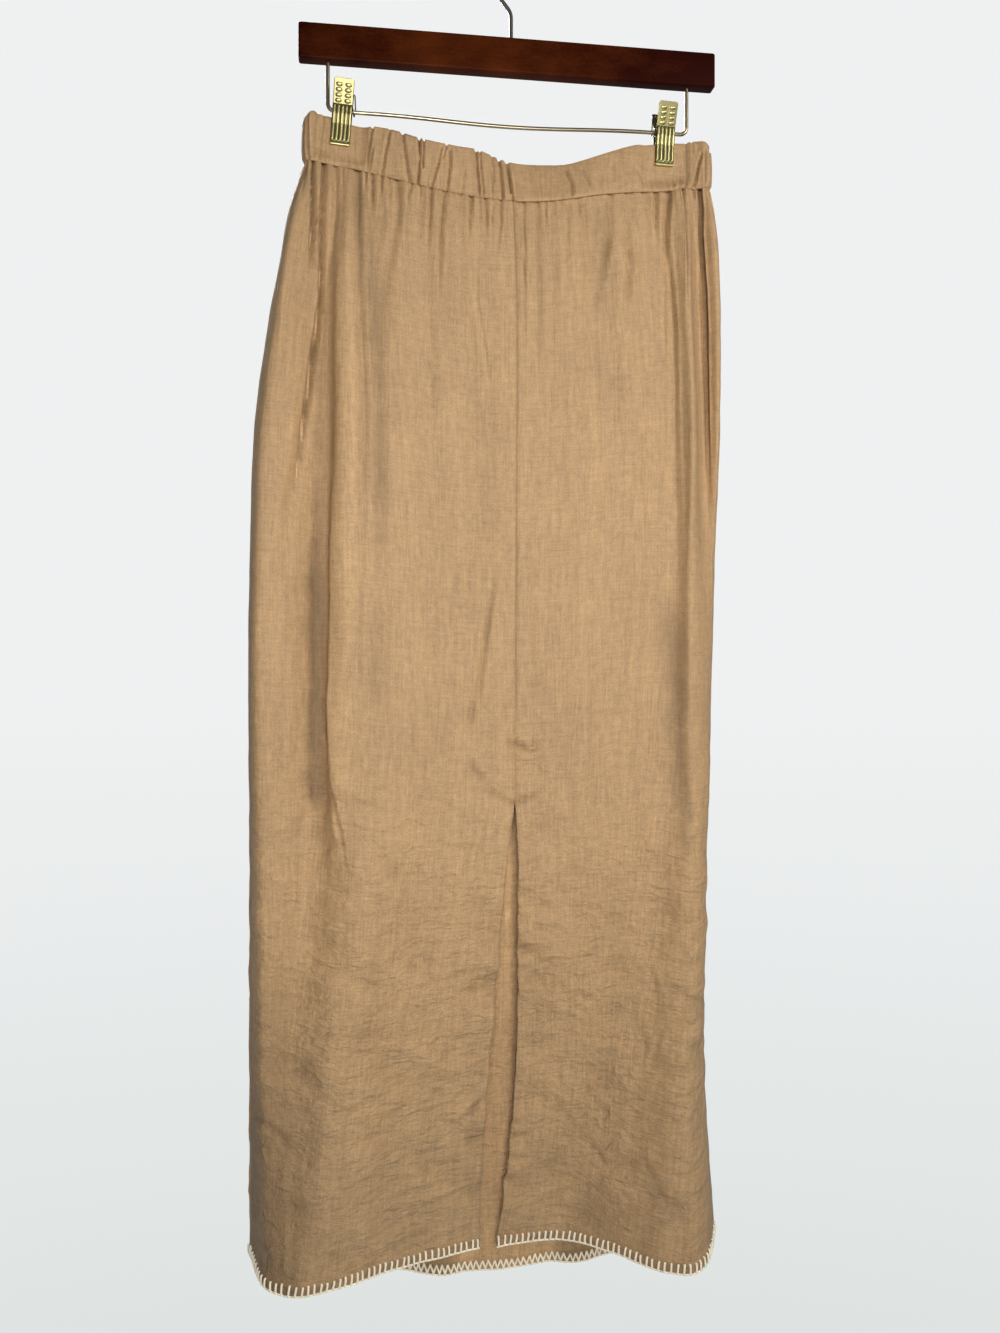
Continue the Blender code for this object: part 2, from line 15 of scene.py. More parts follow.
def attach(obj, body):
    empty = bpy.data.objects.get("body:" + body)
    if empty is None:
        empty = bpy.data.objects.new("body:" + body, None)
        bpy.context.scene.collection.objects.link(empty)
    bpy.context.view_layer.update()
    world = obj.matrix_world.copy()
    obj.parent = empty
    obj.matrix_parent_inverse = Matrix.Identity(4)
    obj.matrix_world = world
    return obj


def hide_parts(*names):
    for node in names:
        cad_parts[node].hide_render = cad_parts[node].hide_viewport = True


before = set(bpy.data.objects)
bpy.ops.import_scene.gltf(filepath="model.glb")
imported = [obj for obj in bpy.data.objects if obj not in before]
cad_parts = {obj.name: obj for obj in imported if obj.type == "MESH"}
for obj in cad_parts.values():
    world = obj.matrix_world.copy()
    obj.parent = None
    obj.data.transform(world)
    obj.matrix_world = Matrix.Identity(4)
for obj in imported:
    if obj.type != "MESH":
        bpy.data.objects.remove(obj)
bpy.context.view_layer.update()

MM = 0.001
SEED = 7

# Sizes shared with the solids

BAND_WALL = 2.6
BAND_PROUD = 0.8
BACK_Y = 14.0
PANEL_LENGTH = 900.0

# The waistband's top, the seam under it and the hem of the back, each a row of (x, z)
BAND_TOP = (
    (-176, -158), (-168, -151.5), (-157, -151.4), (-133, -158), (-103, -162), (-76, -169), (-50, -172.5),
    (-29, -174), (-8, -180.5), (28, -181.5), (49, -179.5), (65, -174.5), (84, -167.8), (103, -161.6),
    (124, -157.5), (150, -155), (168, -155.1), (177, -161),
)
WAIST_SEAM = (
    (-176, -191.5), (-155, -193), (-133, -196), (-98, -203.5), (-67, -210), (-41, -214.2), (-14, -216.5),
    (12, -216.2), (31, -214.3), (51, -211), (71, -206.5), (105, -201), (145, -197), (177, -193),
)
BACK_HEM = (
    (-217, -1092), (-170, -1106), (-130, -1114), (-93, -1119), (-59, -1124), (-25, -1125), (37, -1122),
    (89, -1119), (125, -1112), (155, -1102), (178, -1094),
)

# Plan sections of the front: each named line has its share of the way across, its height at the hem
# and its (x, y) at each level, from 0, the waist seam, to 1, the hem
LEVELS = (0.0, 0.04, 0.10, 0.22, 0.40, 0.60, 0.80, 1.0)
FRONT_LEFT_LINES = {
    "side": (
        0.0, -1092,
        (-172, -6), (-183.5, -8), (-192, -9), (-209.5, -11), (-216, -8), (-216, -3), (-216, 0), (-216, 0),
    ),
    "roll": (
        0.16, -1098,
        (-165, -9), (-175, -15), (-184, -19), (-199, -27), (-206, -33), (-206, -37), (-206, -38), (-204, -36),
    ),
    "trough": (
        0.30, -1102,
        (-145, -5), (-148, -7), (-152, -9), (-156, -12), (-155, -16), (-162, -25), (-177, -37), (-190, -45),
    ),
    "ridge": (
        0.40, -1103,
        (-133, -6), (-136, -12), (-138, -17), (-139, -25), (-137, -31), (-140, -38), (-156, -47), (-176, -49),
    ),
    "middle": (
        0.70, -1101,
        (-66, -11), (-67, -15), (-68, -18), (-67, -23), (-66, -27), (-70, -29), (-82, -29), (-94, -24),
    ),
    "centre": (
        1.0, -1097,
        (0, -12), (1, -16), (2, -19), (1, -24), (0, -27), (0, -22), (0, -14), (0, -4),
    ),
}
FRONT_RIGHT_LINES = {
    "centre": (
        0.0, -1097,
        (0, -12), (1, -16), (2, -19), (1, -24), (0, -27), (0, -22), (0, -14), (0, -4),
    ),
    "middle": (
        0.26, -1097,
        (60, -11), (62, -15), (64, -18), (66, -23), (64, -25), (60, -24), (58, -18), (53, 0),
    ),
    "valley": (
        0.50, -1100,
        (128, -6), (131, -10), (133, -14), (137, -20), (132, -24), (121, -26), (104, -26), (88, -27),
    ),
    "ridge": (
        0.70, -1104,
        (149, -9), (151, -15), (152, -20), (154, -27), (150, -32), (148, -38), (142, -46), (122, -54),
    ),
    "fold": (
        0.82, -1103,
        (160, -5), (163, -4), (165, -3), (168, -4), (166, -20), (164, -27), (156, -36), (143, -58),
    ),
    "roll": (
        0.92, -1098,
        (170, -8), (175, -11), (178, -12), (178, -13), (174, -9), (170, -10), (164, -18), (160, -45),
    ),
    "side": (
        1.0, -1094,
        (176, 1), (181, 2), (184, 3), (183, 4), (177, 5), (174, 5), (169, 3), (176, -8),
    ),
}

BACK_KNOTS = (0.0, 0.05, 0.10, 0.30, 0.50, 0.70, 0.88, 0.95, 1.0)
BACK_DRAWN_IN, BACK_DRAWN_LEVEL = 1.5, 0.15
BACK_TURN = 18.0
CORNER_INSET, CORNER_TURNED, CORNER_PULL = 1.6, 0.58, 2.0
BACK_FOLDS = (
    (0.20, 3.0, 0.040, 0.080, 0.04, 0.62, 0.020),
    (0.36, 4.8, 0.075, 0.045, 0.16, 1.30, -0.025),
    (0.47, 1.6, 0.030, 0.030, 0.00, 0.34, 0.010),
    (0.55, 3.4, 0.045, 0.090, 0.30, 1.25, 0.035),
    (0.72, 4.4, 0.080, 0.050, 0.02, 0.86, 0.030),
    (0.84, 2.6, 0.035, 0.060, 0.22, 1.10, -0.020),
)

SLIT_LEVELS = (0.571, 0.62, 0.68, 0.77, 0.87, 0.94, 1.0)
SLIT_LEFT = (0.0, -5.6, -10.0, -16.8, -23.2, -26.6, -27.5)
SLIT_RIGHT = (0.0, 2.6, 2.8, 3.2, 0.0, -6.5, -13.0)
SLIT_FADE = 0.55

BAR_LENGTH, BAR_DEPTH, BAR_HEIGHT = 356.0, 12.5, 30.0
BAR_TOP = -76.4
BAR_EDGE = 2.0
HOOK_WIRE = 1.6
HOOK_RADIUS = 21.0
HOOK_LEAN = 39.0
HOOK_END = -35.0
ROD_WIRE = 1.6
ROD_HALF = 154.0
ROD_DROP = 40.0
ROD_BEND = 6.0
ROD_SAG, ROD_SAG_HALF = 3.5, 118.0

CLIP_WIDTH, CLIP_PLATE = 16.5, 1.0
CLIP_TOP, CLIP_BEND, CLIP_TIP = 22.0, 4.0, -30.0
SLEEVE_RADIUS = 4.4
CLIPS = (
    {"name": "clip_left", "x": -142.0, "lean": 4.5, "inward": 1},
    {"name": "clip_right", "x": 134.0, "lean": 1.8, "inward": -1},
)
GRIP_HALF, GRIP_FADE = 12.0, 14.0
GRIP_INSIDE = 0.2
GRIP_Y = BAND_WALL + GRIP_INSIDE
GRIP_RISE = 0.36
JAW_TOP, JAW_SLOPE_TOP, FINGER_SPREAD = -12.0, -4.0, 7.5
BAND_LEAN = 9.0
BAND_LEAN_X, BAND_LEAN_REACH = 25.0, 110.0

# Creases, placed one by one. They are laid out as they are seen from the front, on upright planes at
# these depths
EYE = (-147.5, -965.8, -607.9)
BAND_PLANE, GATHER_PLANE, WRINKLE_PLANE = -10.0, -16.0, -28.0

# Each crease: depth (above 0 is drawn in, below 0 stands out), width to its left and right, the share of
# its length over which it starts and ends, and its path of (x, z)
BAND_CREASES = (
    (1.2, 1.2, 1.4, 0.1, 0.0, (-171, -155), (-170, -190)),
    (1.0, 1.2, 1.2, 0.1, 0.0, (-166, -154), (-168, -190)),
    (1.3, 1.3, 1.3, 0.0, 0.0, (-162, -153), (-166, -190)),
    (1.9, 1.3, 1.5, 0.0, 0.0, (-156, -152), (-160, -191)),
    (1.3, 1.2, 1.2, 0.2, 0.0, (-154, -160), (-157, -192)),
    (0.7, 1.8, 1.8, 0.3, 0.0, (-149, -177), (-149, -192)),
    (0.9, 2.0, 2.0, 0.2, 0.1, (-131, -158), (-132, -196)),
    (1.4, 1.1, 1.1, 0.0, 0.0, (-117, -158), (-120, -178), (-122, -198)),
    (1.2, 1.0, 1.0, 0.3, 0.0, (-117, -177), (-120, -198)),
    (1.3, 1.2, 1.4, 0.1, 0.0, (-103, -161), (-107, -182), (-110, -202)),
    (1.4, 1.4, 1.6, 0.0, 0.0, (-93, -164), (-91, -181), (-87, -206)),
    (1.9, 1.2, 1.2, 0.0, 0.0, (-79, -167), (-78, -185), (-80, -208)),
    (1.6, 1.0, 1.0, 0.0, 0.0, (-75, -168), (-76, -193)),
    (1.5, 1.2, 1.2, 0.1, 0.0, (-59, -171), (-62, -185), (-69, -210)),
    (1.2, 1.0, 1.0, 0.0, 0.3, (-56, -172), (-60, -187)),
    (1.4, 1.2, 1.4, 0.1, 0.0, (-53, -173), (-53, -186), (-56, -212)),
    (0.8, 1.2, 1.2, 0.3, 0.0, (-41, -189), (-43, -213)),
    (2.0, 1.3, 1.5, 0.0, 0.0, (-31, -174), (-30, -190), (-28, -213)),
    (1.6, 1.0, 1.0, 0.0, 0.0, (-28, -175), (-27, -190), (-25, -212)),
    (1.0, 1.1, 1.1, 0.1, 0.1, (-18, -178), (-16, -204)),
    (1.4, 1.1, 1.3, 0.0, 0.0, (-12, -178), (-9, -214)),
    (1.3, 1.1, 1.3, 0.0, 0.0, (-5, -180), (-2, -209)),
    (0.9, 1.0, 1.0, 0.3, 0.0, (-22, -179), (-18, -197), (-17, -217)),
    (1.0, 1.0, 1.0, 0.1, 0.0, (-14, -178), (-10, -189), (-8, -216)),
    (1.1, 1.1, 1.1, 0.0, 0.0, (-7, -180), (-3, -198), (0, -216)),
    (1.7, 1.0, 2.2, 0.35, 0.1, (42, -182), (49, -198), (50, -211)),
    (1.1, 1.6, 2.2, 0.3, 0.2, (57, -183), (66, -201)),
    (1.0, 1.6, 2.2, 0.3, 0.2, (84, -178), (88, -196)),
    (1.1, 1.4, 1.8, 0.4, 0.2, (107, -180), (113, -197)),
    (0.8, 2.0, 2.0, 0.2, 0.1, (122, -160), (124, -199)),
    (0.9, 1.3, 1.6, 0.3, 0.0, (140, -177), (139, -198)),
    (1.1, 1.2, 1.4, 0.3, 0.0, (146, -172), (145, -197)),
    (1.9, 1.2, 1.4, 0.0, 0.0, (151, -155), (152, -197)),
    (0.8, 1.1, 1.1, 0.0, 0.2, (156, -155), (157, -172)),
    (1.6, 1.2, 1.2, 0.1, 0.0, (165, -164), (161, -179), (158, -195)),
    (1.3, 1.2, 1.4, 0.1, 0.0, (168, -160), (168, -192)),
    (0.9, 1.2, 1.2, 0.1, 0.0, (172, -160), (173, -192)),
)

GATHERS = (
    (3.0, 1.5, 1.7, 0.0, 0.5, (-166, -193), (-166, -244), (-169, -301)),
    (
        3.1, 1.6, 2.3, 0.0, 0.7,
        (-157, -195), (-159, -238), (-160, -308), (-166, -355), (-177, -441), (-194, -554),
    ),
    (
        1.7, 5.0, 4.0, 0.2, 0.3,
        (-163, -300), (-165, -333), (-170, -389), (-176, -424), (-184, -473), (-195, -554),
    ),
    (
        -3.6, 5.5, 15.0, 0.15, 0.25,
        (-143, -230), (-143, -259), (-142, -398), (-145, -554), (-148, -635), (-146, -717), (-152, -799),
    ),
    (
        1.5, 13.0, 7.0, 0.4, 0.4,
        (-159, -415), (-160, -488), (-162, -570), (-162, -652), (-165, -733), (-170, -798),
    ),
    (-2.4, 9.0, 8.0, 0.3, 0.3, (-144, -400), (-145, -554), (-148, -635), (-146, -717), (-150, -790)),
    (1.0, 2.0, 1.1, 0.3, 0.3, (-159, -627), (-155, -668), (-148, -711), (-141, -758), (-137, -787)),
    (1.3, 2.0, 2.4, 0.0, 0.7, (-148, -196), (-148, -240), (-153, -300)),
    (1.8, 4.5, 3.2, 0.0, 0.6, (-130, -197), (-130, -249), (-128, -306), (-124, -390), (-126, -570)),
    (1.0, 1.3, 1.3, 0.0, 0.8, (-123, -199), (-124, -219)),
    (1.5, 1.5, 1.9, 0.0, 0.7, (-118, -201), (-118, -246)),
    (1.0, 1.2, 1.2, 0.0, 0.8, (-110, -203), (-111, -224)),
    (1.5, 1.6, 1.6, 0.0, 0.7, (-104, -204), (-103, -244)),
    (1.8, 3.4, 3.4, 0.0, 0.7, (-98, -205), (-96, -229), (-101, -260), (-109, -320)),
    (1.4, 1.4, 1.4, 0.0, 0.8, (-85, -208), (-89, -221), (-89, -242)),
    (1.0, 1.2, 1.2, 0.0, 0.8, (-78, -210), (-79, -226)),
    (2.4, 1.8, 1.6, 0.0, 0.7, (-69, -212), (-70, -228), (-73, -275)),
    (2.0, 1.8, 2.4, 0.0, 0.7, (-58, -213), (-60, -226), (-62, -245), (-64, -330)),
    (1.0, 1.2, 1.2, 0.0, 0.8, (-45, -214), (-45, -230)),
    (2.4, 1.6, 1.6, 0.0, 0.7, (-36, -215), (-39, -262)),
    (1.8, 1.4, 1.4, 0.0, 0.7, (-24, -216), (-23, -230), (-24, -256)),
    (1.0, 2.6, 1.5, 0.4, 0.35, (-31, -246), (-31, -302), (-25, -342), (-18, -384)),
    (1.8, 1.4, 1.4, 0.0, 0.7, (-11, -217), (-11, -235), (-16, -270)),
    (1.2, 1.2, 1.2, 0.1, 0.7, (-18, -220), (-20, -260)),
    (1.3, 1.3, 1.5, 0.0, 0.7, (8, -217), (9, -253), (8, -386)),
    (1.4, 1.1, 1.1, 0.0, 0.8, (27, -215), (27, -244)),
    (0.9, 1.2, 1.2, 0.0, 0.8, (40, -214), (41, -230)),
    (1.3, 1.4, 1.4, 0.0, 0.8, (54, -211), (56, -223), (57, -240)),
    (0.9, 1.3, 1.3, 0.0, 0.8, (67, -208), (67, -226)),
    (1.1, 2.6, 3.2, 0.0, 0.6, (20, -219), (22, -301), (20, -410)),
    (1.0, 2.2, 2.8, 0.0, 0.7, (45, -218), (44, -283), (39, -359)),
    (0.9, 3.0, 2.4, 0.0, 0.6, (60, -215), (61, -299), (56, -434)),
    (1.2, 2.6, 3.4, 0.0, 0.6, (100, -207), (98, -289), (101, -416)),
    (0.9, 2.2, 2.6, 0.0, 0.7, (113, -205), (115, -305)),
    (1.3, 2.4, 2.0, 0.0, 0.6, (133, -202), (129, -279), (131, -381)),
    (0.8, 2.2, 2.2, 0.0, 0.7, (78, -212), (79, -290)),
    (1.6, 3.2, 2.8, 0.0, 0.6, (83, -205), (82, -221), (82, -242), (74, -284), (70, -330)),
    (1.2, 1.2, 1.2, 0.0, 0.8, (96, -202), (96, -218), (97, -228)),
    (1.5, 2.8, 2.6, 0.2, 0.6, (99, -214), (97, -248), (100, -262), (96, -296), (86, -365)),
    (1.0, 1.2, 1.2, 0.0, 0.8, (110, -201), (110, -222)),
    (2.0, 1.6, 1.8, 0.0, 0.7, (122, -199), (121, -256)),
    (
        1.6, 3.4, 2.4, 0.0, 0.5,
        (135, -204), (131, -230), (132, -254), (134, -275), (138, -321), (139, -389), (142, -551),
    ),
    (2.2, 1.4, 1.4, 0.0, 0.6, (146, -197), (150, -217), (151, -240), (151, -322)),
    (3.6, 1.9, 1.6, 0.0, 0.35, (160, -195), (162, -217), (162, -238), (166, -293), (168, -398), (169, -474)),
    (1.2, 1.2, 1.2, 0.0, 0.8, (155, -196), (158, -214), (159, -232)),
    (1.2, 1.2, 1.4, 0.0, 0.8, (171, -194), (173, -232)),
    (1.2, 2.0, 2.4, 0.4, 0.5, (-184, -261), (-189, -348), (-199, -432)),
    (0.9, 1.6, 1.6, 0.0, 0.8, (-172, -193), (-176, -236)),
)

WRINKLES = (
    (-1.3, 5.0, 3.0, 0.3, 0.3, (-163, -904), (-133, -915), (-103, -914), (-75, -922), (-60, -927)),
    (-0.8, 2.6, 2.2, 0.4, 0.3, (-94, -900), (-63, -899), (-59, -890), (-35, -883), (-23, -877)),
    (0.9, 2.4, 2.6, 0.3, 0.2, (-75, -926), (-63, -912), (-37, -912), (-22, -905)),
    (-1.1, 3.0, 2.0, 0.3, 0.0, (-59, -932), (-37, -933), (-22, -929)),
    (0.9, 2.4, 3.0, 0.4, 0.1, (-85, -942), (-56, -946), (-24, -944)),
    (-0.9, 2.6, 2.4, 0.3, 0.2, (-54, -829), (-40, -822), (-22, -815)),
    (0.7, 2.6, 2.6, 0.3, 0.2, (-54, -833), (-20, -838)),
    (-0.8, 3.0, 3.0, 0.4, 0.4, (-156, -957), (-136, -949), (-113, -941)),
    (-0.9, 2.6, 2.8, 0.4, 0.4, (-131, -993), (-117, -978), (-101, -962)),
    (0.8, 2.8, 2.6, 0.4, 0.4, (-113, -980), (-94, -967), (-85, -961)),
    (1.4, 2.2, 2.6, 0.4, 0.0, (-52, -987), (-35, -971), (-24, -959)),
    (-1.0, 3.0, 2.4, 0.4, 0.1, (-61, -995), (-28, -990)),
    (0.9, 3.2, 2.6, 0.4, 0.1, (-68, -1016), (-28, -1008)),
    (-1.1, 4.0, 2.6, 0.3, 0.1, (-108, -1051), (-71, -1039), (-28, -1029)),
    (1.0, 3.6, 3.0, 0.3, 0.1, (-96, -1077), (-56, -1061), (-28, -1054)),
    (-0.8, 2.8, 2.8, 0.4, 0.4, (-122, -1059), (-103, -1046), (-94, -1040)),
    (1.8, 3.0, 3.6, 0.1, 0.4, (-213, -966), (-199, -978), (-188, -988), (-185, -1003)),
    (0.9, 3.0, 3.0, 0.2, 0.4, (-210, -946), (-186, -954)),
    (-0.9, 4.0, 3.0, 0.3, 0.2, (-188, -995), (-188, -1027), (-187, -1066), (-187, -1101)),
    (0.7, 2.4, 2.4, 0.4, 0.4, (-85, -1005), (-104, -1019)),
    (-0.9, 3.0, 3.0, 0.4, 0.4, (-178, -1082), (-154, -1078), (-130, -1082)),
    (0.7, 6.0, 6.0, 0.4, 0.4, (-170, -700), (-140, -720), (-100, -728)),
    (0.6, 5.0, 5.0, 0.4, 0.4, (-190, -860), (-160, -872), (-120, -868)),
    (-0.8, 2.6, 3.0, 0.1, 0.4, (3, -852), (26, -847), (48, -846), (82, -845)),
    (0.8, 2.6, 2.6, 0.1, 0.4, (1, -872), (20, -859)),
    (-0.9, 3.0, 3.0, 0.3, 0.3, (52, -942), (76, -972), (83, -995)),
    (1.1, 3.0, 3.4, 0.3, 0.3, (25, -956), (41, -982), (64, -1009), (84, -1036)),
    (-0.9, 2.4, 2.4, 0.0, 0.4, (-1, -922), (19, -927), (34, -920)),
    (1.0, 2.4, 2.4, 0.0, 0.4, (-4, -951), (15, -957), (32, -945)),
    (-0.9, 2.4, 2.4, 0.0, 0.4, (-9, -990), (5, -991), (20, -1001)),
    (0.8, 2.2, 2.2, 0.0, 0.4, (-11, -1027), (18, -1021)),
    (-1.0, 3.4, 2.6, 0.1, 0.4, (-4, -1045), (33, -1039), (72, -1036)),
    (0.8, 3.0, 3.0, 0.4, 0.4, (98, -1002), (117, -1040), (132, -1066)),
    (0.7, 3.0, 3.0, 0.4, 0.4, (106, -847), (117, -870), (121, -898)),
    (-0.7, 3.0, 3.0, 0.4, 0.4, (99, -890), (115, -922), (109, -953)),
    (0.7, 3.0, 3.0, 0.4, 0.3, (117, -884), (139, -883), (165, -892)),
    (-0.8, 3.0, 3.0, 0.4, 0.4, (86, -936), (93, -968), (113, -991)),
    (0.9, 3.5, 16.0, 0.3, 0.2, (82, -905), (76, -937), (74, -984), (72, -1018), (71, -1075)),
    (-0.7, 3.0, 3.0, 0.4, 0.4, (131, -905), (119, -944)),
    (2.6, 4.0, 3.6, 0.3, 0.3, (-15, -674), (-1, -672), (10, -677), (25, -672)),
    (-2.3, 3.8, 4.4, 0.3, 0.3, (1, -684), (14, -680), (27, -675)),
    (1.4, 3.4, 3.4, 0.3, 0.3, (-39, -681), (-35, -693), (-24, -704)),
    (1.7, 3.8, 3.4, 0.4, 0.0, (-27, -708), (-14, -715), (-4, -721)),
    (1.7, 3.8, 3.6, 0.4, 0.0, (27, -709), (13, -716), (1, -721)),
    (1.8, 2.6, 2.2, 0.4, 0.4, (-35, -627), (-37, -645), (-40, -664)),
    (-1.6, 4.6, 4.0, 0.0, 0.5, (1, -756), (12, -761), (25, -765)),
    (1.5, 5.0, 4.2, 0.0, 0.5, (2, -797), (18, -806), (37, -809)),
    (0.9, 4.6, 4.4, 0.5, 0.0, (-53, -814), (-37, -823), (-17, -827)),
    (0.8, 4.2, 4.4, 0.5, 0.0, (-51, -869), (-32, -874), (-20, -871)),
    (-1.7, 4.4, 4.6, 0.0, 0.5, (1, -887), (13, -892), (28, -890)),
    (1.7, 13.0, 16.0, 0.5, 0.4, (128, -501), (132, -586), (136, -653), (141, -720), (143, -788), (143, -830)),
    (1.6, 2.6, 2.2, 0.45, 0.2, (-16, -520), (-22, -561), (-28, -603), (-33, -648)),
    (0.9, 3.0, 2.6, 0.1, 0.3, (-11, -1060), (24, -1048), (48, -1044)),
    (0.7, 3.0, 3.0, 0.4, 0.4, (80, -1030), (102, -1068)),
)

# Where the folded-in edges of the slit press through, and the soft hollow above them
FACING_PRINTS = (
    (
        0.22, 0.9, 0.9, 0.2, 0.1,
        (-52, -700), (-56, -800), (-58, -893), (-61, -973), (-64, -1044), (-66, -1092),
    ),
    (0.22, 0.9, 0.9, 0.2, 0.1, (43, -700), (40, -800), (35, -903), (29, -961), (23, -1039), (17, -1090)),
    (0.3, 1.0, 1.4, 0.2, 0.2, (-36, -674), (-12, -664), (0, -661), (22, -665), (34, -668)),
    (0.9, 6.0, 6.0, 0.3, 0.3, (-16, -512), (-24, -580), (-30, -622), (-37, -664)),
)


# Curves and fades


def smooth(t):
    t = np.clip(t, 0.0, 1.0)
    return t * t * (3 - 2 * t)


def fade_in(value, start, span):
    """0 up to start, and 1 from start + span on."""
    return smooth((value - start) / span)


def bell(t):
    """1 at 0, falling softly to 0 at -1 and 1."""
    return np.cos(np.clip(t, -1, 1) * math.pi / 2) ** 2


def gauss(t):
    return np.exp(-(t**2))


def dome(q, least=0.0):
    """The height of a round bump at the squared share q of its reach."""
    return np.sqrt(np.clip(1 - q, least, 1))


def spline(knots, values, t):
    """A smooth curve through values at knots, read at t."""
    knots, values, t = np.asarray(knots, float), np.asarray(values, float), np.asarray(t, float)
    steps = np.diff(knots)
    slopes = np.diff(values, axis=0) / steps[:, None]
    inner = slopes[:-1] * steps[1:, None] + slopes[1:] * steps[:-1, None]
    inner /= (steps[:-1] + steps[1:])[:, None]
    tangents = np.concatenate([slopes[:1], inner, slopes[-1:]])
    i = np.clip(np.searchsorted(knots, t, side="right") - 1, 0, len(knots) - 2)
    h = steps[i][:, None]
    s = ((t - knots[i]) / steps[i])[:, None]
    return (
        values[i] * (1 + 2 * s) * (1 - s) ** 2
        + tangents[i] * h * s * (1 - s) ** 2
        + values[i + 1] * s * s * (3 - 2 * s)
        + tangents[i + 1] * h * s * s * (s - 1)
    )


def edge_height(edge, x):
    """The height of a sagging edge at x."""
    edge = np.array(edge, float)
    flat = np.clip(np.ravel(x), edge[0, 0], edge[-1, 0])
    return spline(edge[:, 0], edge[:, 1:], flat)[:, 0].reshape(np.shape(x))


def steps_along(points):
    """How far each point is from the first one along their line."""
    return np.concatenate([[0], np.cumsum(np.linalg.norm(np.diff(points, axis=0), axis=1))])


# Creases as relief

CREASE_POWER, CREASE_REACH, NARROWED = 1.7, 4.0, 0.85
SHOULDER, SHOULDER_AT, SHOULDER_WIDTH = 0.22, 2.3, 0.8
BAND_STRENGTH, GATHER_STRENGTH, WRINKLE_STRENGTH = 1.4, 1.45, 1.5

# Creases are a little calmer in the middle of the skirt
CALMER, CALM_X, CALM_HALF, CALM_FADE = 0.75, 15.0, 85.0, 50.0

WAVE_PITCH = (0.7, 1.6)


def seen_on(points, plane):
    """(x, z) of points where the line from the eye crosses an upright plane."""
    eye = np.array(EYE)
    reach = (plane - eye[1]) / (points[..., 1] - eye[1])
    x = eye[0] + (points[..., 0] - eye[0]) * reach
    z = eye[2] + (points[..., 2] - eye[2]) * reach
    return np.stack([x, z], axis=-1)


def crease(at, row):
    """How far one crease draws in the points that are seen at (x, z)."""
    depth, left, right, start, end, *path = row
    path = np.array(path, float)
    reach = CREASE_REACH * max(left, right)
    low, high = path.min(0) - reach, path.max(0) + reach
    near = ((at >= low) & (at <= high)).all(-1)
    drawn = np.zeros(at.shape[:-1])
    if not near.any():
        return drawn
    p = at[near]
    runs = np.diff(path, axis=0)
    sizes = np.linalg.norm(runs, axis=1)
    before = steps_along(path)
    best = np.full(len(p), np.inf)
    along = np.zeros(len(p))
    side = np.zeros(len(p))
    for a, run, size, walked in zip(path, runs, sizes, before):
        t = np.clip(((p - a) @ run) / size**2, 0, 1)
        off = p - (a + t[:, None] * run)
        gap = np.linalg.norm(off, axis=1)
        closer = gap < best
        best = np.where(closer, gap, best)
        along = np.where(closer, walked + t * size, along)
        turned = run[0] * off[:, 1] - run[1] * off[:, 0]
        side = np.where(closer, np.sign(turned), side)
    t = along / before[-1]
    fade = smooth(t / start) if start > 0 else np.ones(len(t))
    if end > 0:
        fade = fade * smooth((1 - t) / end)
    q = best / (np.where(side > 0, right, left) * NARROWED)
    shape = np.exp(-(q**CREASE_POWER)) - SHOULDER * gauss((q - SHOULDER_AT) / SHOULDER_WIDTH)
    drawn[near] = depth * fade * shape
    return drawn


def relief_of(points, rows, plane, strength=1.0):
    """How far rows of creases, laid out on a plane, draw the points in."""
    at = seen_on(points, plane)
    aside = fade_in(np.abs(points[..., 0] - CALM_X), CALM_HALF, CALM_FADE)
    return sum(crease(at, row) for row in rows) * strength * (CALMER + (1 - CALMER) * aside)


def waves(x, z, seed, size, count=7):
    """Soft uneven waves, about -1 to 1, of about this size."""
    draw = np.random.default_rng(seed)
    total = np.zeros(np.shape(x))
    for _ in range(count):
        turn, phase = draw.uniform(0, 2 * math.pi, 2)
        pitch = size * draw.uniform(*WAVE_PITCH)
        total += np.sin((x * math.cos(turn) + z * math.sin(turn)) * 2 * math.pi / pitch + phase)
    return total / count**0.5


# Plans of the panels

FRONT_FLAT, BACK_FLAT = (0.262, 0.905), (0.42, 0.915)
PANELS = (
    {"name": "front_left", "lines": FRONT_LEFT_LINES, "slit": SLIT_LEFT, "edge": 1.0, "flat": FRONT_FLAT},
    {"name": "front_right", "lines": FRONT_RIGHT_LINES, "slit": SLIT_RIGHT, "edge": 0.0, "flat": FRONT_FLAT},
    {"name": "back", "lines": None, "slit": None, "edge": 0.0, "flat": BACK_FLAT},
)
for _i, _panel in enumerate(PANELS):
    _panel["before"] = PANELS[_i - 1]
    _panel["after"] = PANELS[(_i + 1) % len(PANELS)]

TANGENT_STEP = 1e-3


def line_points(lines, levels):
    knots = [line[0] for line in lines.values()]
    return knots, np.stack([spline(LEVELS, line[2:], levels) for line in lines.values()])


def back_points(levels):
    """The back's plan: it turns in from the fronts' side lines and is flat between its corners."""
    right = line_points(FRONT_RIGHT_LINES, levels)[1][-1]
    left = line_points(FRONT_LEFT_LINES, levels)[1][0]
    depth = BACK_Y - BACK_DRAWN_IN * (1 - smooth(levels / BACK_DRAWN_LEVEL))
    turned = CORNER_TURNED * depth - CORNER_PULL

    def corner(side):
        return np.stack([side[:, 0] - CORNER_INSET, (1 - CORNER_TURNED) * side[:, 1] + turned], 1)

    points = [right, corner(right)]
    for t in np.linspace(0, 1, len(BACK_KNOTS) - 4):
        x = (right[:, 0] - BACK_TURN) * (1 - t) + (left[:, 0] + BACK_TURN) * t
        points.append(np.stack([x, depth], 1))
    return BACK_KNOTS, np.stack([*points, corner(left), left])


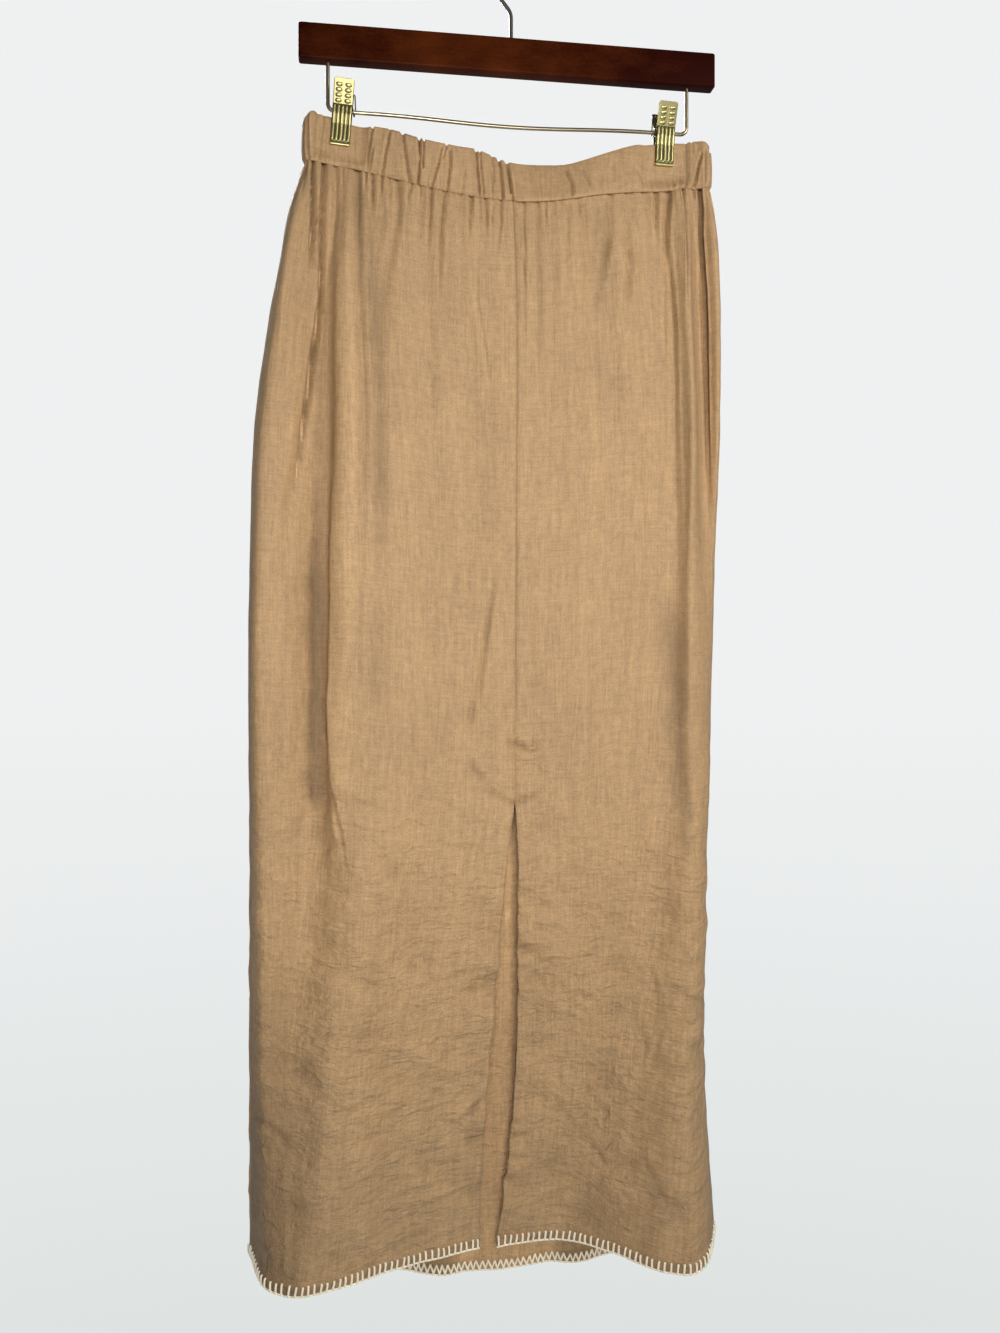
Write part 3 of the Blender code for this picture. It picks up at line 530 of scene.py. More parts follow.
def plan(panel, levels, shares):
    """Outer (x, y) and outward directions on a grid of levels by shares."""
    levels = np.asarray(levels, float)
    knots, points = line_points(panel["lines"], levels) if panel["lines"] else back_points(levels)
    flat = points.reshape(len(knots), -1)

    def read(t):
        return spline(knots, flat, t).reshape(len(shares), len(levels), 2).transpose(1, 0, 2)

    tangent = read(np.clip(shares + TANGENT_STEP, 0, 1)) - read(np.clip(shares - TANGENT_STEP, 0, 1))
    tangent /= np.linalg.norm(tangent, axis=2)[..., None]
    return read(shares), np.stack([tangent[..., 1], -tangent[..., 0]], axis=2)


def hem_height(panel, shares):
    if panel["lines"] is None:
        return edge_height(BACK_HEM, plan(panel, [1.0], shares)[0][0, :, 0])
    lines = np.array([line[:2] for line in panel["lines"].values()], float)
    return spline(lines[:, 0], lines[:, 1:], shares)[:, 0]


def joined_outward(panel, levels, outward):
    """Turns the first and last columns to the direction that they share with the next panel."""
    out = outward.copy()
    for column, other, share in ((0, panel["before"], 1.0), (-1, panel["after"], 0.0)):
        beyond = plan(other, levels, np.array([share]))[1][:, 0]
        halved = out[:, column] + beyond
        out[:, column] = halved / np.linalg.norm(halved, axis=1)[:, None]
    return out


# Relief of the cloth. A pair with a level is where a change starts and how long it takes

SEAM_CURL, SEAM_CURL_REACH = 0.6, 2.6
CENTRE_CURL, CENTRE_REACH = 1.05, 1.5
CENTRE_SEAM_ENDS = (0.56, 0.03)

# Puckers at the waist seam: ranges of depth, width, length and gap
PUCKERS_FROM, PUCKERS_TO = -180.0, 180.0
PUCKER_DEPTH, PUCKER_WIDTH, PUCKER_LENGTH, PUCKER_GAP = (0.2, 0.85), (0.8, 1.4), (8, 60), (2.8, 6.0)

# Flutes that hang from the gathers: depth, size, slant, seed, and how much of them fades over what length
FLUTE_START, FLUTE_TURN, FLUTE_WAVES = 25.0, 0.6, 6
FLUTES = (
    (1.05, 46.0, 0.035, 90, 0.65, 620.0),
    (0.42, 19.0, 0.05, 91, 0.8, 330.0),
)

# Soft unevenness: depth, the share that the upper half keeps, stretch across and down, seed and size
RUMPLE_START, SIDE_SHARE, SIDE_REACH = 160.0, 0.3, 30.0
WORN = (0.45, 0.3)
RUMPLES = (
    (0.45, 1.0, 1.0, 0.7, 3, 95.0),
    (0.86, 0.3, 0.8, 1.0, 4, 34.0),
    (0.44, 0.3, 0.7, 1.0, 6, 17.0),
)

# Thin curved ridges, where the cloth is worn: seed and size of each set
RIDGE_DEPTH, RIDGE_LEAST, RIDGE_START, RIDGE_SPAN = 0.34, 0.25, 60.0, 500.0
RIDGE_SETS = ((80, 74.0), (85, 52.0), (90, 38.0))
RIDGE_HALF, RIDGE_BEND_SIZE, RIDGE_PATCH_SIZE = 0.16, 1.4, 1.7
RIDGE_STRETCH, RIDGE_BEND_X, RIDGE_BEND_Z = 0.5, 0.1, 0.22
RIDGE_PATCHES = (-0.2, 0.9)

# Puckers along the slit's edges: depth, reach, stretch down, slant, seed and size
SLIT_LOOSE = (0.62, 0.1)
SLIT_PUCKERS = (
    (2.3, 24.0, 0.2, 0.4, 5, 27.0),
    (1.0, 18.0, 0.3, -0.3, 8, 15.0),
)

# Gathers of the back: where they are, ranges of depth, gap and side, and three kinds of length
BACK_GATHERS_FROM, BACK_GATHERS_TO = -168.0, 172.0
GATHER_DEPTH, GATHER_GAP, GATHER_SIDES = (0.9, 2.4), (7, 17), (0.8, 1.3)
GATHER_LENGTHS = ((14, 40), (40, 110), (90, 300))
GATHER_THIN, GATHER_VARIES, GATHER_SPREAD = 1.2, 0.7, 110
FOLD_STARTS_OVER, FOLD_STOPS_OVER = 0.2, 0.25

# Its creases: seed, count, box, and ranges of depth, width, length and lean
BACK_CREASES = (
    (41, 34, (-190, 150, -1085, -780), (0.5, 1.2), (2.4, 4.0), (24, 80), (0, 70)),
    (42, 10, (-170, 130, -760, -480), (0.5, 0.9), (3.5, 6.0), (40, 110), (10, 80)),
)


def seam_puckers(panel, x, down):
    """Short fine puckers where the panel is drawn up at the waist seam."""
    draw = np.random.default_rng(SEED + len(panel["name"]))
    total = np.zeros(np.shape(x))
    place = PUCKERS_FROM
    while place < PUCKERS_TO:
        depth = draw.uniform(*PUCKER_DEPTH)
        width = draw.uniform(*PUCKER_WIDTH)
        length = draw.uniform(*PUCKER_LENGTH)
        total += depth * gauss((x - place) / width) * (1 - smooth(down / length))
        place += draw.uniform(*PUCKER_GAP)
    return total


def flutes(around, down):
    """Broad soft flutes that hang from the gathers."""
    total = 0
    for depth, size, slant, seed, lost, length in FLUTES:
        beat = waves(around, slant * down, SEED + seed, size, FLUTE_WAVES)
        total += depth * beat * (1 - lost * smooth(down / length))
    return smooth(down / FLUTE_START) * total


def thin_ridges(x, z, seed, size):
    """Thin curved ridges with uneven gaps between them, 0 to 1."""
    bent = size * waves(x, z, seed + 1, size * RIDGE_BEND_SIZE, 4)
    field = waves(RIDGE_STRETCH * x + RIDGE_BEND_X * bent, z + RIDGE_BEND_Z * bent, seed, size, 5)
    patch = fade_in(waves(x, z, seed + 2, size * RIDGE_PATCH_SIZE, 4), *RIDGE_PATCHES)
    return patch * gauss(field / RIDGE_HALF)


def random_creases(seed, count, box, depth, width, length, lean):
    """Uneven creases inside a box of (x0, x1, z0, z1), for the side that the front view doesn't show."""
    draw = np.random.default_rng(seed)
    rows = []
    for _ in range(count):
        x = draw.uniform(box[0], box[1])
        z = draw.uniform(box[2], box[3])
        size = draw.uniform(*length)
        turn = math.radians(draw.uniform(*lean)) * draw.choice([-1, 1])
        bend = draw.uniform(-0.2, 0.2) * size
        ahead = np.array([math.cos(turn), math.sin(turn)])
        across = np.array([-ahead[1], ahead[0]])
        middle = np.array([x, z])
        path = [middle - ahead * size / 2, middle + across * bend, middle + ahead * size / 2]
        w = draw.uniform(*width)
        deep = draw.uniform(*depth) * draw.choice([-1, 1])
        rows.append((deep, w, w * draw.uniform(0.7, 1.4), 0.4, 0.4, *path))
    return rows


def back_rows():
    """Gathers and creases of the back, as uneven as those of the front."""
    draw = np.random.default_rng(SEED + 40)
    rows = []
    x = BACK_GATHERS_FROM
    while x < BACK_GATHERS_TO:
        depth = draw.uniform(*GATHER_DEPTH)
        length = draw.choice([draw.uniform(*kind) for kind in GATHER_LENGTHS])
        width = GATHER_THIN + GATHER_VARIES * draw.random() + length / GATHER_SPREAD
        top = float(edge_height(WAIST_SEAM, np.array([x]))[0]) + 2
        lean = draw.uniform(-0.06, 0.06) * length + 0.08 * x * length / 300
        path = [(x, top), (x + lean * 0.4, top - length / 2), (x + lean, top - length)]
        rows.append((depth, width, width * draw.uniform(*GATHER_SIDES), 0.0, 0.7, *path))
        x += draw.uniform(*GATHER_GAP)
    for seed, *places_and_sizes in BACK_CREASES:
        rows += random_creases(SEED + seed, *places_and_sizes)
    return rows


def back_fold(level, shares, fold):
    """One long fold: share, depth, width to each side, level where it starts and fades, and lean."""
    share, depth, before, after, start, stop, lean = fold
    apart = shares - share - lean * level
    shape = bell(apart / np.where(apart < 0, before, after))
    fading = 1 - fade_in(level, stop, FOLD_STOPS_OVER)
    return depth * shape * fade_in(level, start, FOLD_STARTS_OVER) * fading


def placed_relief(panel, base, level, shares):
    """The creases and folds that have places of their own."""
    if panel["lines"]:
        drawn = relief_of(base, GATHERS, GATHER_PLANE, GATHER_STRENGTH)
        drawn += relief_of(base, WRINKLES, WRINKLE_PLANE, WRINKLE_STRENGTH)
        return drawn + relief_of(base, FACING_PRINTS, WRINKLE_PLANE)
    drawn = sum(crease(base[..., ::2], row) for row in back_rows())
    return drawn + sum(back_fold(level, shares, fold) for fold in BACK_FOLDS)


def cloth_relief(panel, base, level, down, from_side):
    """What all the cloth has: puckers at the waist seam, soft unevenness, flutes and thin ridges."""
    x, y, z = base[..., 0], base[..., 1], base[..., 2]
    drawn = seam_puckers(panel, x, down) + SEAM_CURL * (1 - smooth(down / SEAM_CURL_REACH)) ** 2
    worn = fade_in(level, *WORN)
    rumpled = smooth(down / RUMPLE_START) * (SIDE_SHARE + (1 - SIDE_SHARE) * smooth(from_side / SIDE_REACH))
    for depth, upper, stretch_x, stretch_z, seed, size in RUMPLES:
        beat = waves(stretch_x * x, stretch_z * z, SEED + seed, size)
        drawn += depth * rumpled * (upper + (1 - upper) * worn) * beat
    drawn += flutes(x + FLUTE_TURN * y, down)
    worn = worn * (RIDGE_LEAST + (1 - RIDGE_LEAST) * fade_in(down, RIDGE_START, RIDGE_SPAN))
    for seed, size in RIDGE_SETS:
        drawn -= RIDGE_DEPTH * worn * thin_ridges(x, z, SEED + seed, size)
    return drawn


def centre_relief(panel, base, level, from_centre):
    """The curl of the centre seam, and the puckers along the slit below it."""
    x, z = base[..., 0], base[..., 2]
    drawn = CENTRE_CURL * (1 - fade_in(level, *CENTRE_SEAM_ENDS)) * gauss(from_centre / CENTRE_REACH)
    for depth, reach, stretch, slant, seed, size in SLIT_PUCKERS:
        beat = waves(stretch * z, z + slant * x, SEED + seed + int(panel["edge"]), size, 5)
        drawn = drawn + depth * fade_in(level, *SLIT_LOOSE) * beat * gauss(from_centre / reach)
    return drawn


# Tone of the cloth: how much lighter or darker its colour is, much of it painted shade and painted light.
# Pairs are as above

HEM_TONE, HEM_STRIP, HEM_STRIP_FADE = 0.22, 6.5, 1.5
# Painted shade in hollows and painted highlight on ridges: how much, at most, and from what depth
HOLLOW_SHADE, HOLLOW_SHADE_MOST, RAISED_HIGHLIGHT, RAISED_HIGHLIGHT_MOST, TONE_FROM = 0.12, 2.5, 0.045, 3.0, 0.8
# Painted light: a lighter band low on the skirt, where it starts, where it ends and how much of it is lost
MIDDLE_LIGHT, MIDDLE_STARTS, MIDDLE_ENDS, MIDDLE_LOST = 0.07, (0.5, 0.15), (0.8, 0.2), 0.9
LINE_HALF, SEAM_TONE, SLIT_EDGE_SHADE = 0.9, 0.26, 0.28
SEAM_TONE_EASES, SEAM_TONE_LOST = (0.43, 0.1), 0.7
LOW_LEFT_SHADE, LOW_LEFT_STARTS, LOW_LEFT_X = 0.31, (0.66, 0.28), (-208, 60)
# Painted light on the inside, and more on the back where it shows through the slit
REVERSE_LIGHT = 1.28
SLIT_X, SLIT_HALF, SLIT_STARTS = -8.0, 40.0, (0.5, 0.06)
SLIT_BACK_LIGHT, SLIT_APEX_LIGHT, BEHIND_SLIT_EASES = 0.09, 0.46, (0.58, 0.22)


def cloth_tone(front, x, from_hem, level, drawn, from_centre):
    """Painted highlight on ridges, painted shade in hollows and creases, painted light in a band low on the
    skirt, painted shade at the lower left and along the slit's edges; darker in the hem's strip and along the
    centre seam.
    """
    tone = 1 - HEM_TONE * (1 - fade_in(from_hem, HEM_STRIP, HEM_STRIP_FADE))
    # painted shade in hollows and creases, and painted highlight on raised ridges
    tone *= 1 - HOLLOW_SHADE * np.clip(drawn - TONE_FROM, 0, HOLLOW_SHADE_MOST)
    tone *= 1 + RAISED_HIGHLIGHT * np.clip(-drawn - TONE_FROM, 0, RAISED_HIGHLIGHT_MOST)
    # painted light in a band low on the skirt
    kept = 1 - MIDDLE_LOST * fade_in(level, *MIDDLE_ENDS)
    tone *= 1 + MIDDLE_LIGHT * fade_in(level, *MIDDLE_STARTS) * kept
    if front:
        line = gauss(from_centre / LINE_HALF)
        closed = 1 - fade_in(level, *CENTRE_SEAM_ENDS)
        tone *= 1 - SEAM_TONE * (1 - SEAM_TONE_LOST * fade_in(level, *SEAM_TONE_EASES)) * closed * line
        # painted shade over the lower left
        tone *= 1 - LOW_LEFT_SHADE * fade_in(level, *LOW_LEFT_STARTS) * (1 - fade_in(x, *LOW_LEFT_X))
        # painted shade along the slit's edges
        tone *= 1 - SLIT_EDGE_SHADE * (1 - closed) * line
    return tone


def inside_painted_light(panel, x, level, tone):
    """Painted light: the inside is lighter, most of all what shows of the back through the slit."""
    tone = REVERSE_LIGHT * tone
    if panel["lines"]:
        return tone
    behind = gauss((x - SLIT_X) / SLIT_HALF) * fade_in(level, *SLIT_STARTS)
    return tone * (1 + behind * (SLIT_BACK_LIGHT + SLIT_APEX_LIGHT * (1 - fade_in(level, *BEHIND_SLIT_EASES))))


# Cloth panels

SHEET_WALL = 1.2


def panel_grid(panel, levels, shares):
    """Outer points of a panel in millimetres, levels by shares, its outward directions and its tone."""
    front = panel["lines"] is not None
    level = levels[:, None]
    curve, outward = plan(panel, levels, shares)
    outward = joined_outward(panel, levels, outward)
    seam = edge_height(WAIST_SEAM, plan(panel, [0.0], shares)[0][0, :, 0])
    z = seam + level * (hem_height(panel, shares) - seam)
    x = curve[..., 0]
    if front:
        opened = spline(SLIT_LEVELS, np.array(panel["slit"])[:, None], np.clip(levels, SLIT_LEVELS[0], 1.0))
        x = x + opened * (1 - smooth(np.abs(shares - panel["edge"]) / SLIT_FADE))
    base = np.stack([x, curve[..., 1], z], axis=2)
    across = steps_along(curve[len(levels) // 2])
    from_centre = np.abs(across - (across[-1] if panel["edge"] else 0))
    from_side = across[-1] - from_centre if front else np.minimum(across, across[-1] - across)
    drawn = placed_relief(panel, base, level, shares[None])
    drawn = drawn + cloth_relief(panel, base, level, seam - z, from_side)
    tone = cloth_tone(front, x, z - z[-1], level, drawn, from_centre)
    if front:
        drawn = drawn + centre_relief(panel, base, level, from_centre)
    base[..., :2] -= outward * drawn[..., None]
    return base, outward, tone, across


def quads(rows, columns, offset, closed=False):
    """Faces of a grid of vertices numbered row by row."""
    i, j = np.meshgrid(np.arange(rows - 1), np.arange(columns if closed else columns - 1), indexing="ij")
    k = (j + 1) % columns
    here, below = offset + i * columns, offset + (i + 1) * columns
    return np.stack([here + j, here + k, below + k, below + j], axis=-1).reshape(-1, 4).tolist()


def bridge(fine, coarse):
    """Triangles between a border and the border of half as many steps."""
    faces = []
    for i in range(len(coarse) - 1):
        a, b, c = fine[2 * i], fine[2 * i + 1], fine[2 * i + 2]
        faces += [(a, b, coarse[i]), (b, coarse[i + 1], coarse[i]), (b, c, coarse[i + 1])]
    return faces


def finished_object(name, data, finish, sharp):
    """Shades a mesh smooth up to an angle in degrees, and puts it in the scene with its finish."""
    data.shade_smooth()
    data.set_sharp_from_angle(angle=math.radians(sharp))
    data.materials.append(finish)
    made = bpy.data.objects.new(name, data)
    bpy.context.scene.collection.objects.link(made)
    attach(made, "root")
    return made


def mesh_object(name, points, faces, finish, sharp=50.0, uv=None, tone=None):
    """A smooth-shaded piece in metres, with its cloth coordinates and tone where it has them."""
    data = bpy.data.meshes.new(name)
    data.from_pydata((np.asarray(points) * MM).tolist(), [], faces)
    data.update()
    work = bmesh.new()
    work.from_mesh(data)
    bmesh.ops.recalc_face_normals(work, faces=work.faces)
    work.to_mesh(data)
    work.free()
    if uv is not None:
        layer = data.uv_layers.new(name="cloth")
        corners = np.zeros(len(data.loops), int)
        data.loops.foreach_get("vertex_index", corners)
        layer.data.foreach_set("uv", (np.asarray(uv)[corners] * MM).ravel())
    if tone is not None:
        values = data.attributes.new("tone", "FLOAT", "POINT")
        values.data.foreach_set("value", np.asarray(tone, float).ravel())
    return finished_object(name, data, finish, sharp)


FINE = 1
PANEL_ROWS, PANEL_COLUMNS = 360 // FINE, 200 // FINE
TOP_ROWS, TOP_LEVEL = 6, 0.010

# Each cloth has its own stretch of the linen, this far from the one before
CLOTH_APART = 1000.0


def build_panel(panel, finish):
    """A panel of cloth: a finer outer face, an inner face of half as many steps, and its borders."""
    top = np.linspace(0, TOP_LEVEL, TOP_ROWS, endpoint=False)
    levels = np.concatenate([top, np.linspace(TOP_LEVEL, 1, PANEL_ROWS - TOP_ROWS + 1)])
    shares = np.linspace(0, 1, PANEL_COLUMNS + 1)
    outer, outward, tone, across = panel_grid(panel, levels, shares)
    panel["grid"] = (levels, shares, outer, outward)
    rows, wide = outer.shape[:2]
    inner = outer[::2, ::2].copy()
    inner[..., :2] -= outward[::2, ::2] * SHEET_WALL
    in_rows, in_wide = inner.shape[:2]
    uv = np.zeros((rows, wide, 2))
    uv[..., 0] = across + CLOTH_APART * PANELS.index(panel)
    uv[..., 1] = levels[:, None] * PANEL_LENGTH
    start = rows * wide
    faces = quads(rows, wide, 0) + quads(in_rows, in_wide, start)
    outside = np.arange(start).reshape(rows, wide)
    inside = start + np.arange(in_rows * in_wide).reshape(in_rows, in_wide)
    for edge in (np.s_[0], np.s_[-1], np.s_[:, 0], np.s_[:, -1]):
        faces += bridge(outside[edge].tolist(), inside[edge].tolist())
    # the inner face carries painted light
    reverse = inside_painted_light(panel, inner[..., 0], levels[::2, None], tone[::2, ::2])
    made = mesh_object(
        f"{panel['name']}_cloth", np.concatenate([outer.reshape(-1, 3), inner.reshape(-1, 3)]), faces, finish,
        uv=np.concatenate([uv.reshape(-1, 2), uv[::2, ::2].reshape(-1, 2)]),
        tone=np.concatenate([tone.ravel(), reverse.ravel()]),
    )
    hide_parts(panel["name"])
    return made


# The waistband. Its levels go from 0, the seam, to 1, the top

BAND_COLUMNS, LOOP_SAMPLES = 800 // FINE, 400
OUTER_STEPS, INNER_STEPS, ROUND_STEPS = 34, 12, 5
BAND_LOW, BAND_HIGH = 0.04, 0.96
BAND_BULGE, BAND_HELD, INNER_CALM = 0.7, 0.85, 0.5
BAND_SAG, BAND_SAG_MOST, BAND_SAG_LEVEL = 0.9, 1.5, (0.8, 0.2)
# Painted shade in the band's creases: how much, from what depth and at most
BAND_CREASE_SHADE, BAND_SHADE_FROM, BAND_SHADE_MOST = 0.14, 0.5, 2.5
OVERHANG_FROM, OVERHANG_TO, OVERHANG_FADE = 2.0, 143.0, 10.0
OVERHANG_OUT, OVERHANG_DOWN, OVERHANG_LEVEL = 1.5, 1.6, 0.5
DITCH_IN, DITCH_LEVEL = 1.1, 0.07

# Creases of the band's back: ranges of depth, width, side, lean and gap, and how much of the height is cut
BACK_BAND_FROM, BACK_BAND_TO = -172.0, 176.0
BACK_BAND_DEPTH, BACK_BAND_WIDTH, BACK_BAND_SIDES = (0.8, 1.8), (1.0, 1.8), (0.8, 1.3)
BACK_BAND_LEAN, BACK_BAND_GAP, BACK_BAND_CUTS = (-4, 4), (4.5, 11), (0.0, 0.0, 0.3, 0.5)


def seam_loop(count):
    """Points round the waist seam, their outward directions, how far along they are, and its length."""
    parts = [plan(panel, [0.0], np.linspace(0, 1, LOOP_SAMPLES)) for panel in PANELS]
    points, outward = (np.concatenate([part[k][0, :-1] for part in parts]) for k in (0, 1))
    points, outward = np.concatenate([points, points[:1]]), np.concatenate([outward, outward[:1]])
    lengths = steps_along(points)
    wanted = np.arange(count) / count * lengths[-1]

    def read(values):
        return np.stack([np.interp(wanted, lengths, values[:, k]) for k in (0, 1)], axis=1)

    facing = read(outward)
    return read(points), facing / np.linalg.norm(facing, axis=1)[:, None], wanted, lengths[-1]


def grip(x):
    """1 where a clip holds the band."""
    return sum(1 - fade_in(np.abs(x - clip["x"]), GRIP_HALF, GRIP_FADE) for clip in CLIPS)


def overhang(x, side):
    """1 where the band's front edge hangs over the seam as a crisp fold."""
    starts = fade_in(x, OVERHANG_FROM - OVERHANG_FADE / 2, OVERHANG_FADE)
    ends = 1 - fade_in(x, OVERHANG_TO - OVERHANG_FADE / 2, OVERHANG_FADE)
    return starts * ends * (side < 0)


def band_section():
    """The band's section as (offset share, level, rounding) steps, up the outside and down the inside."""
    over = np.linspace(0, math.pi, ROUND_STEPS + 2)[1:-1]
    return [
        *((0.0, t, 0.0) for t in np.linspace(BAND_LOW, BAND_HIGH, OUTER_STEPS)),
        *(((1 - math.cos(a)) / 2, 1.0, math.sin(a)) for a in over),
        *((1.0, t, 0.0) for t in np.linspace(BAND_HIGH, BAND_LOW, INNER_STEPS)),
        *(((1 - math.cos(a)) / 2, 0.0, -math.sin(a)) for a in over[::-1]),
    ]


def back_band_rows():
    draw = np.random.default_rng(SEED + 50)
    rows = []
    x = BACK_BAND_FROM
    while x < BACK_BAND_TO:
        lean = draw.uniform(*BACK_BAND_LEAN)
        width = draw.uniform(*BACK_BAND_WIDTH)
        low = float(edge_height(WAIST_SEAM, np.array([x]))[0])
        high = float(edge_height(BAND_TOP, np.array([x]))[0])
        cut = draw.choice(BACK_BAND_CUTS)
        top = high + 2 - cut * (high - low)
        row = (draw.uniform(*BACK_BAND_DEPTH), width, width * draw.uniform(*BACK_BAND_SIDES), cut, 0.0)
        rows.append((*row, (x, top), (x + lean * 0.3, (top + low) / 2), (x + lean, low - 1)))
        x += draw.uniform(*BACK_BAND_GAP)
    return rows


def build_waistband(finish):
    """The casing, closed into a ring, with its creases and flattened where the clips hold it."""
    loop, facing, walked, around = seam_loop(BAND_COLUMNS)
    side = np.where(loop[:, 1] < 0, -1.0, 1.0)
    front, back = side < 0, side > 0
    held = grip(loop[:, 0])
    hang = overhang(loop[:, 0], side)
    back_creases = back_band_rows()
    half = BAND_WALL / 2
    rows, uv, tones = [], [], []
    for share, level, rounding in band_section():
        base = loop + facing * BAND_PROUD
        leaned = base[:, 1] + level * BAND_LEAN * bell((base[:, 0] - BAND_LEAN_X) / BAND_LEAN_REACH) * front
        pinched = held * smooth(level / GRIP_RISE)
        base[:, 1] = leaned * (1 - pinched) + side * GRIP_Y * pinched
        low = edge_height(WAIST_SEAM, base[:, 0]) - OVERHANG_DOWN * hang
        high = edge_height(BAND_TOP, base[:, 0])
        z = low + half + level * (high - low - 2 * half) + rounding * half
        points = np.column_stack([base, z])
        at = seen_on(points, BAND_PLANE)
        drawn = sum(crease(at, row) for row in BAND_CREASES) * front
        drawn = drawn + sum(crease(points[:, ::2], row) for row in back_creases) * back
        drawn *= BAND_STRENGTH
        free = 1 - BAND_HELD * pinched
        out = BAND_BULGE * math.sin(math.pi * level) * free
        out -= DITCH_IN * (1 - smooth(level / DITCH_LEVEL)) * (1 - hang)
        out += OVERHANG_OUT * hang * (1 - smooth(level / OVERHANG_LEVEL))
        out -= drawn * free * (1 - INNER_CALM * share)
        normal = base + facing * (out[:, None] - share * BAND_WALL)
        flat = np.column_stack([base[:, 0], side * (GRIP_Y - share * BAND_WALL)])
        mixed = normal * (1 - pinched[:, None]) + flat * pinched[:, None]
        sag = BAND_SAG * np.clip(drawn, 0, BAND_SAG_MOST) * fade_in(level, *BAND_SAG_LEVEL) * free
        rows.append(np.column_stack([mixed, z - sag]))
        uv.append(np.column_stack([walked + 4 * CLOTH_APART, -z]))
        # painted shade in the band's creases
        tones.append(1 - BAND_CREASE_SHADE * np.clip(drawn - BAND_SHADE_FROM, 0, BAND_SHADE_MOST))
    faces = quads(len(rows), BAND_COLUMNS, 0, closed=True)
    last = (len(rows) - 1) * BAND_COLUMNS
    for i in range(BAND_COLUMNS):
        j = (i + 1) % BAND_COLUMNS
        faces.append((last + i, last + j, j, i))
    made = mesh_object(
        "waistband_cloth", np.concatenate(rows), faces, finish, sharp=70.0,
        uv=np.concatenate(uv), tone=np.concatenate(tones),
    )
    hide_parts("waistband")
    return made, around


# Yarn and thread. A spoke of the hem's stitch starts inside and goes round the edge

STITCH_PITCH, STITCH_UP, YARN = 5.1, 6.8, 0.92
EDGE_YARN, ZIGZAG_YARN = 0.9, 0.9
ZIGZAG_UP, ZIGZAG_FOOT, ZIGZAG_STEPS = 7.5, 0.6, (0.0, 0.35, 0.7, 1.0)
STITCH_END, STITCH_STRAYS, STITCH_LEANS = 1.6, 0.45, 0.55
EDGE_STEP, EDGE_DOWN, EDGE_BEAT, EDGE_OUT = 1.3, -0.75, 0.22, 0.25
INSIDE = -(SHEET_WALL + YARN)

# (outward, up, lifted) at each point of a spoke before it climbs
SPOKE_FOOT = (
    (INSIDE, 1.2, 0.0), (INSIDE * 0.7, -0.1, -0.35), (-SHEET_WALL / 2, -0.3, -0.75), (YARN * 0.6, -0.1, -0.4),
    (YARN, 1.2, 0.0),
)

THREAD, THREAD_SAMPLES = 0.3, 3000
THREAD_STITCH, THREAD_PITCH_RANGE = (1.0, 1.5), (2.2, 2.7)
THREAD_BOWS, THREAD_UP = (-1.15, -0.78, -1.15), 0.1


def tube_mesh(path, radius, sides, points, faces):
    """Adds one round strand along path to the lists of points and faces."""
    path = np.asarray(path, float)
    tangent = np.gradient(path, axis=0)
    tangent /= np.linalg.norm(tangent, axis=1)[:, None]
    helper = np.array([0.0, 1.0, 0.0]) if abs(tangent[0, 1]) < 0.8 else np.array([1.0, 0.0, 0.0])
    start = len(points)
    for p, t in zip(path, tangent):
        across = np.cross(t, helper)
        across /= np.linalg.norm(across)
        helper = np.cross(across, t)
        for k in range(sides):
            a = 2 * math.pi * k / sides
            points.append(p + radius * (math.cos(a) * across + math.sin(a) * helper))
    end = start + (len(path) - 1) * sides
    for a in range(start, end, sides):
        for k in range(sides):
            m = (k + 1) % sides
            faces.append((a + k, a + m, a + sides + m, a + sides + k))
    faces += [list(range(start, start + sides)), list(range(end, end + sides))]


def surface_at(panel, share, level, proud=0.0):
    """A point of a panel's outer surface, this far outside it."""
    levels, shares, outer, outward = panel["grid"]
    r = np.interp(level, levels, np.arange(len(levels)))
    c = np.interp(share, shares, np.arange(len(shares)))
    i, j = min(int(r), len(levels) - 2), min(int(c), len(shares) - 2)
    fr, fc = r - i, c - j
    weights = ((1 - fr) * (1 - fc), (1 - fr) * fc, fr * (1 - fc), fr * fc)
    cells = ((i, j), (i, j + 1), (i + 1, j), (i + 1, j + 1))
    point = sum(w * outer[cell] for w, cell in zip(weights, cells))
    facing = sum(w * outward[cell] for w, cell in zip(weights, cells))
    return point + np.array([*facing, 0.0]) * proud


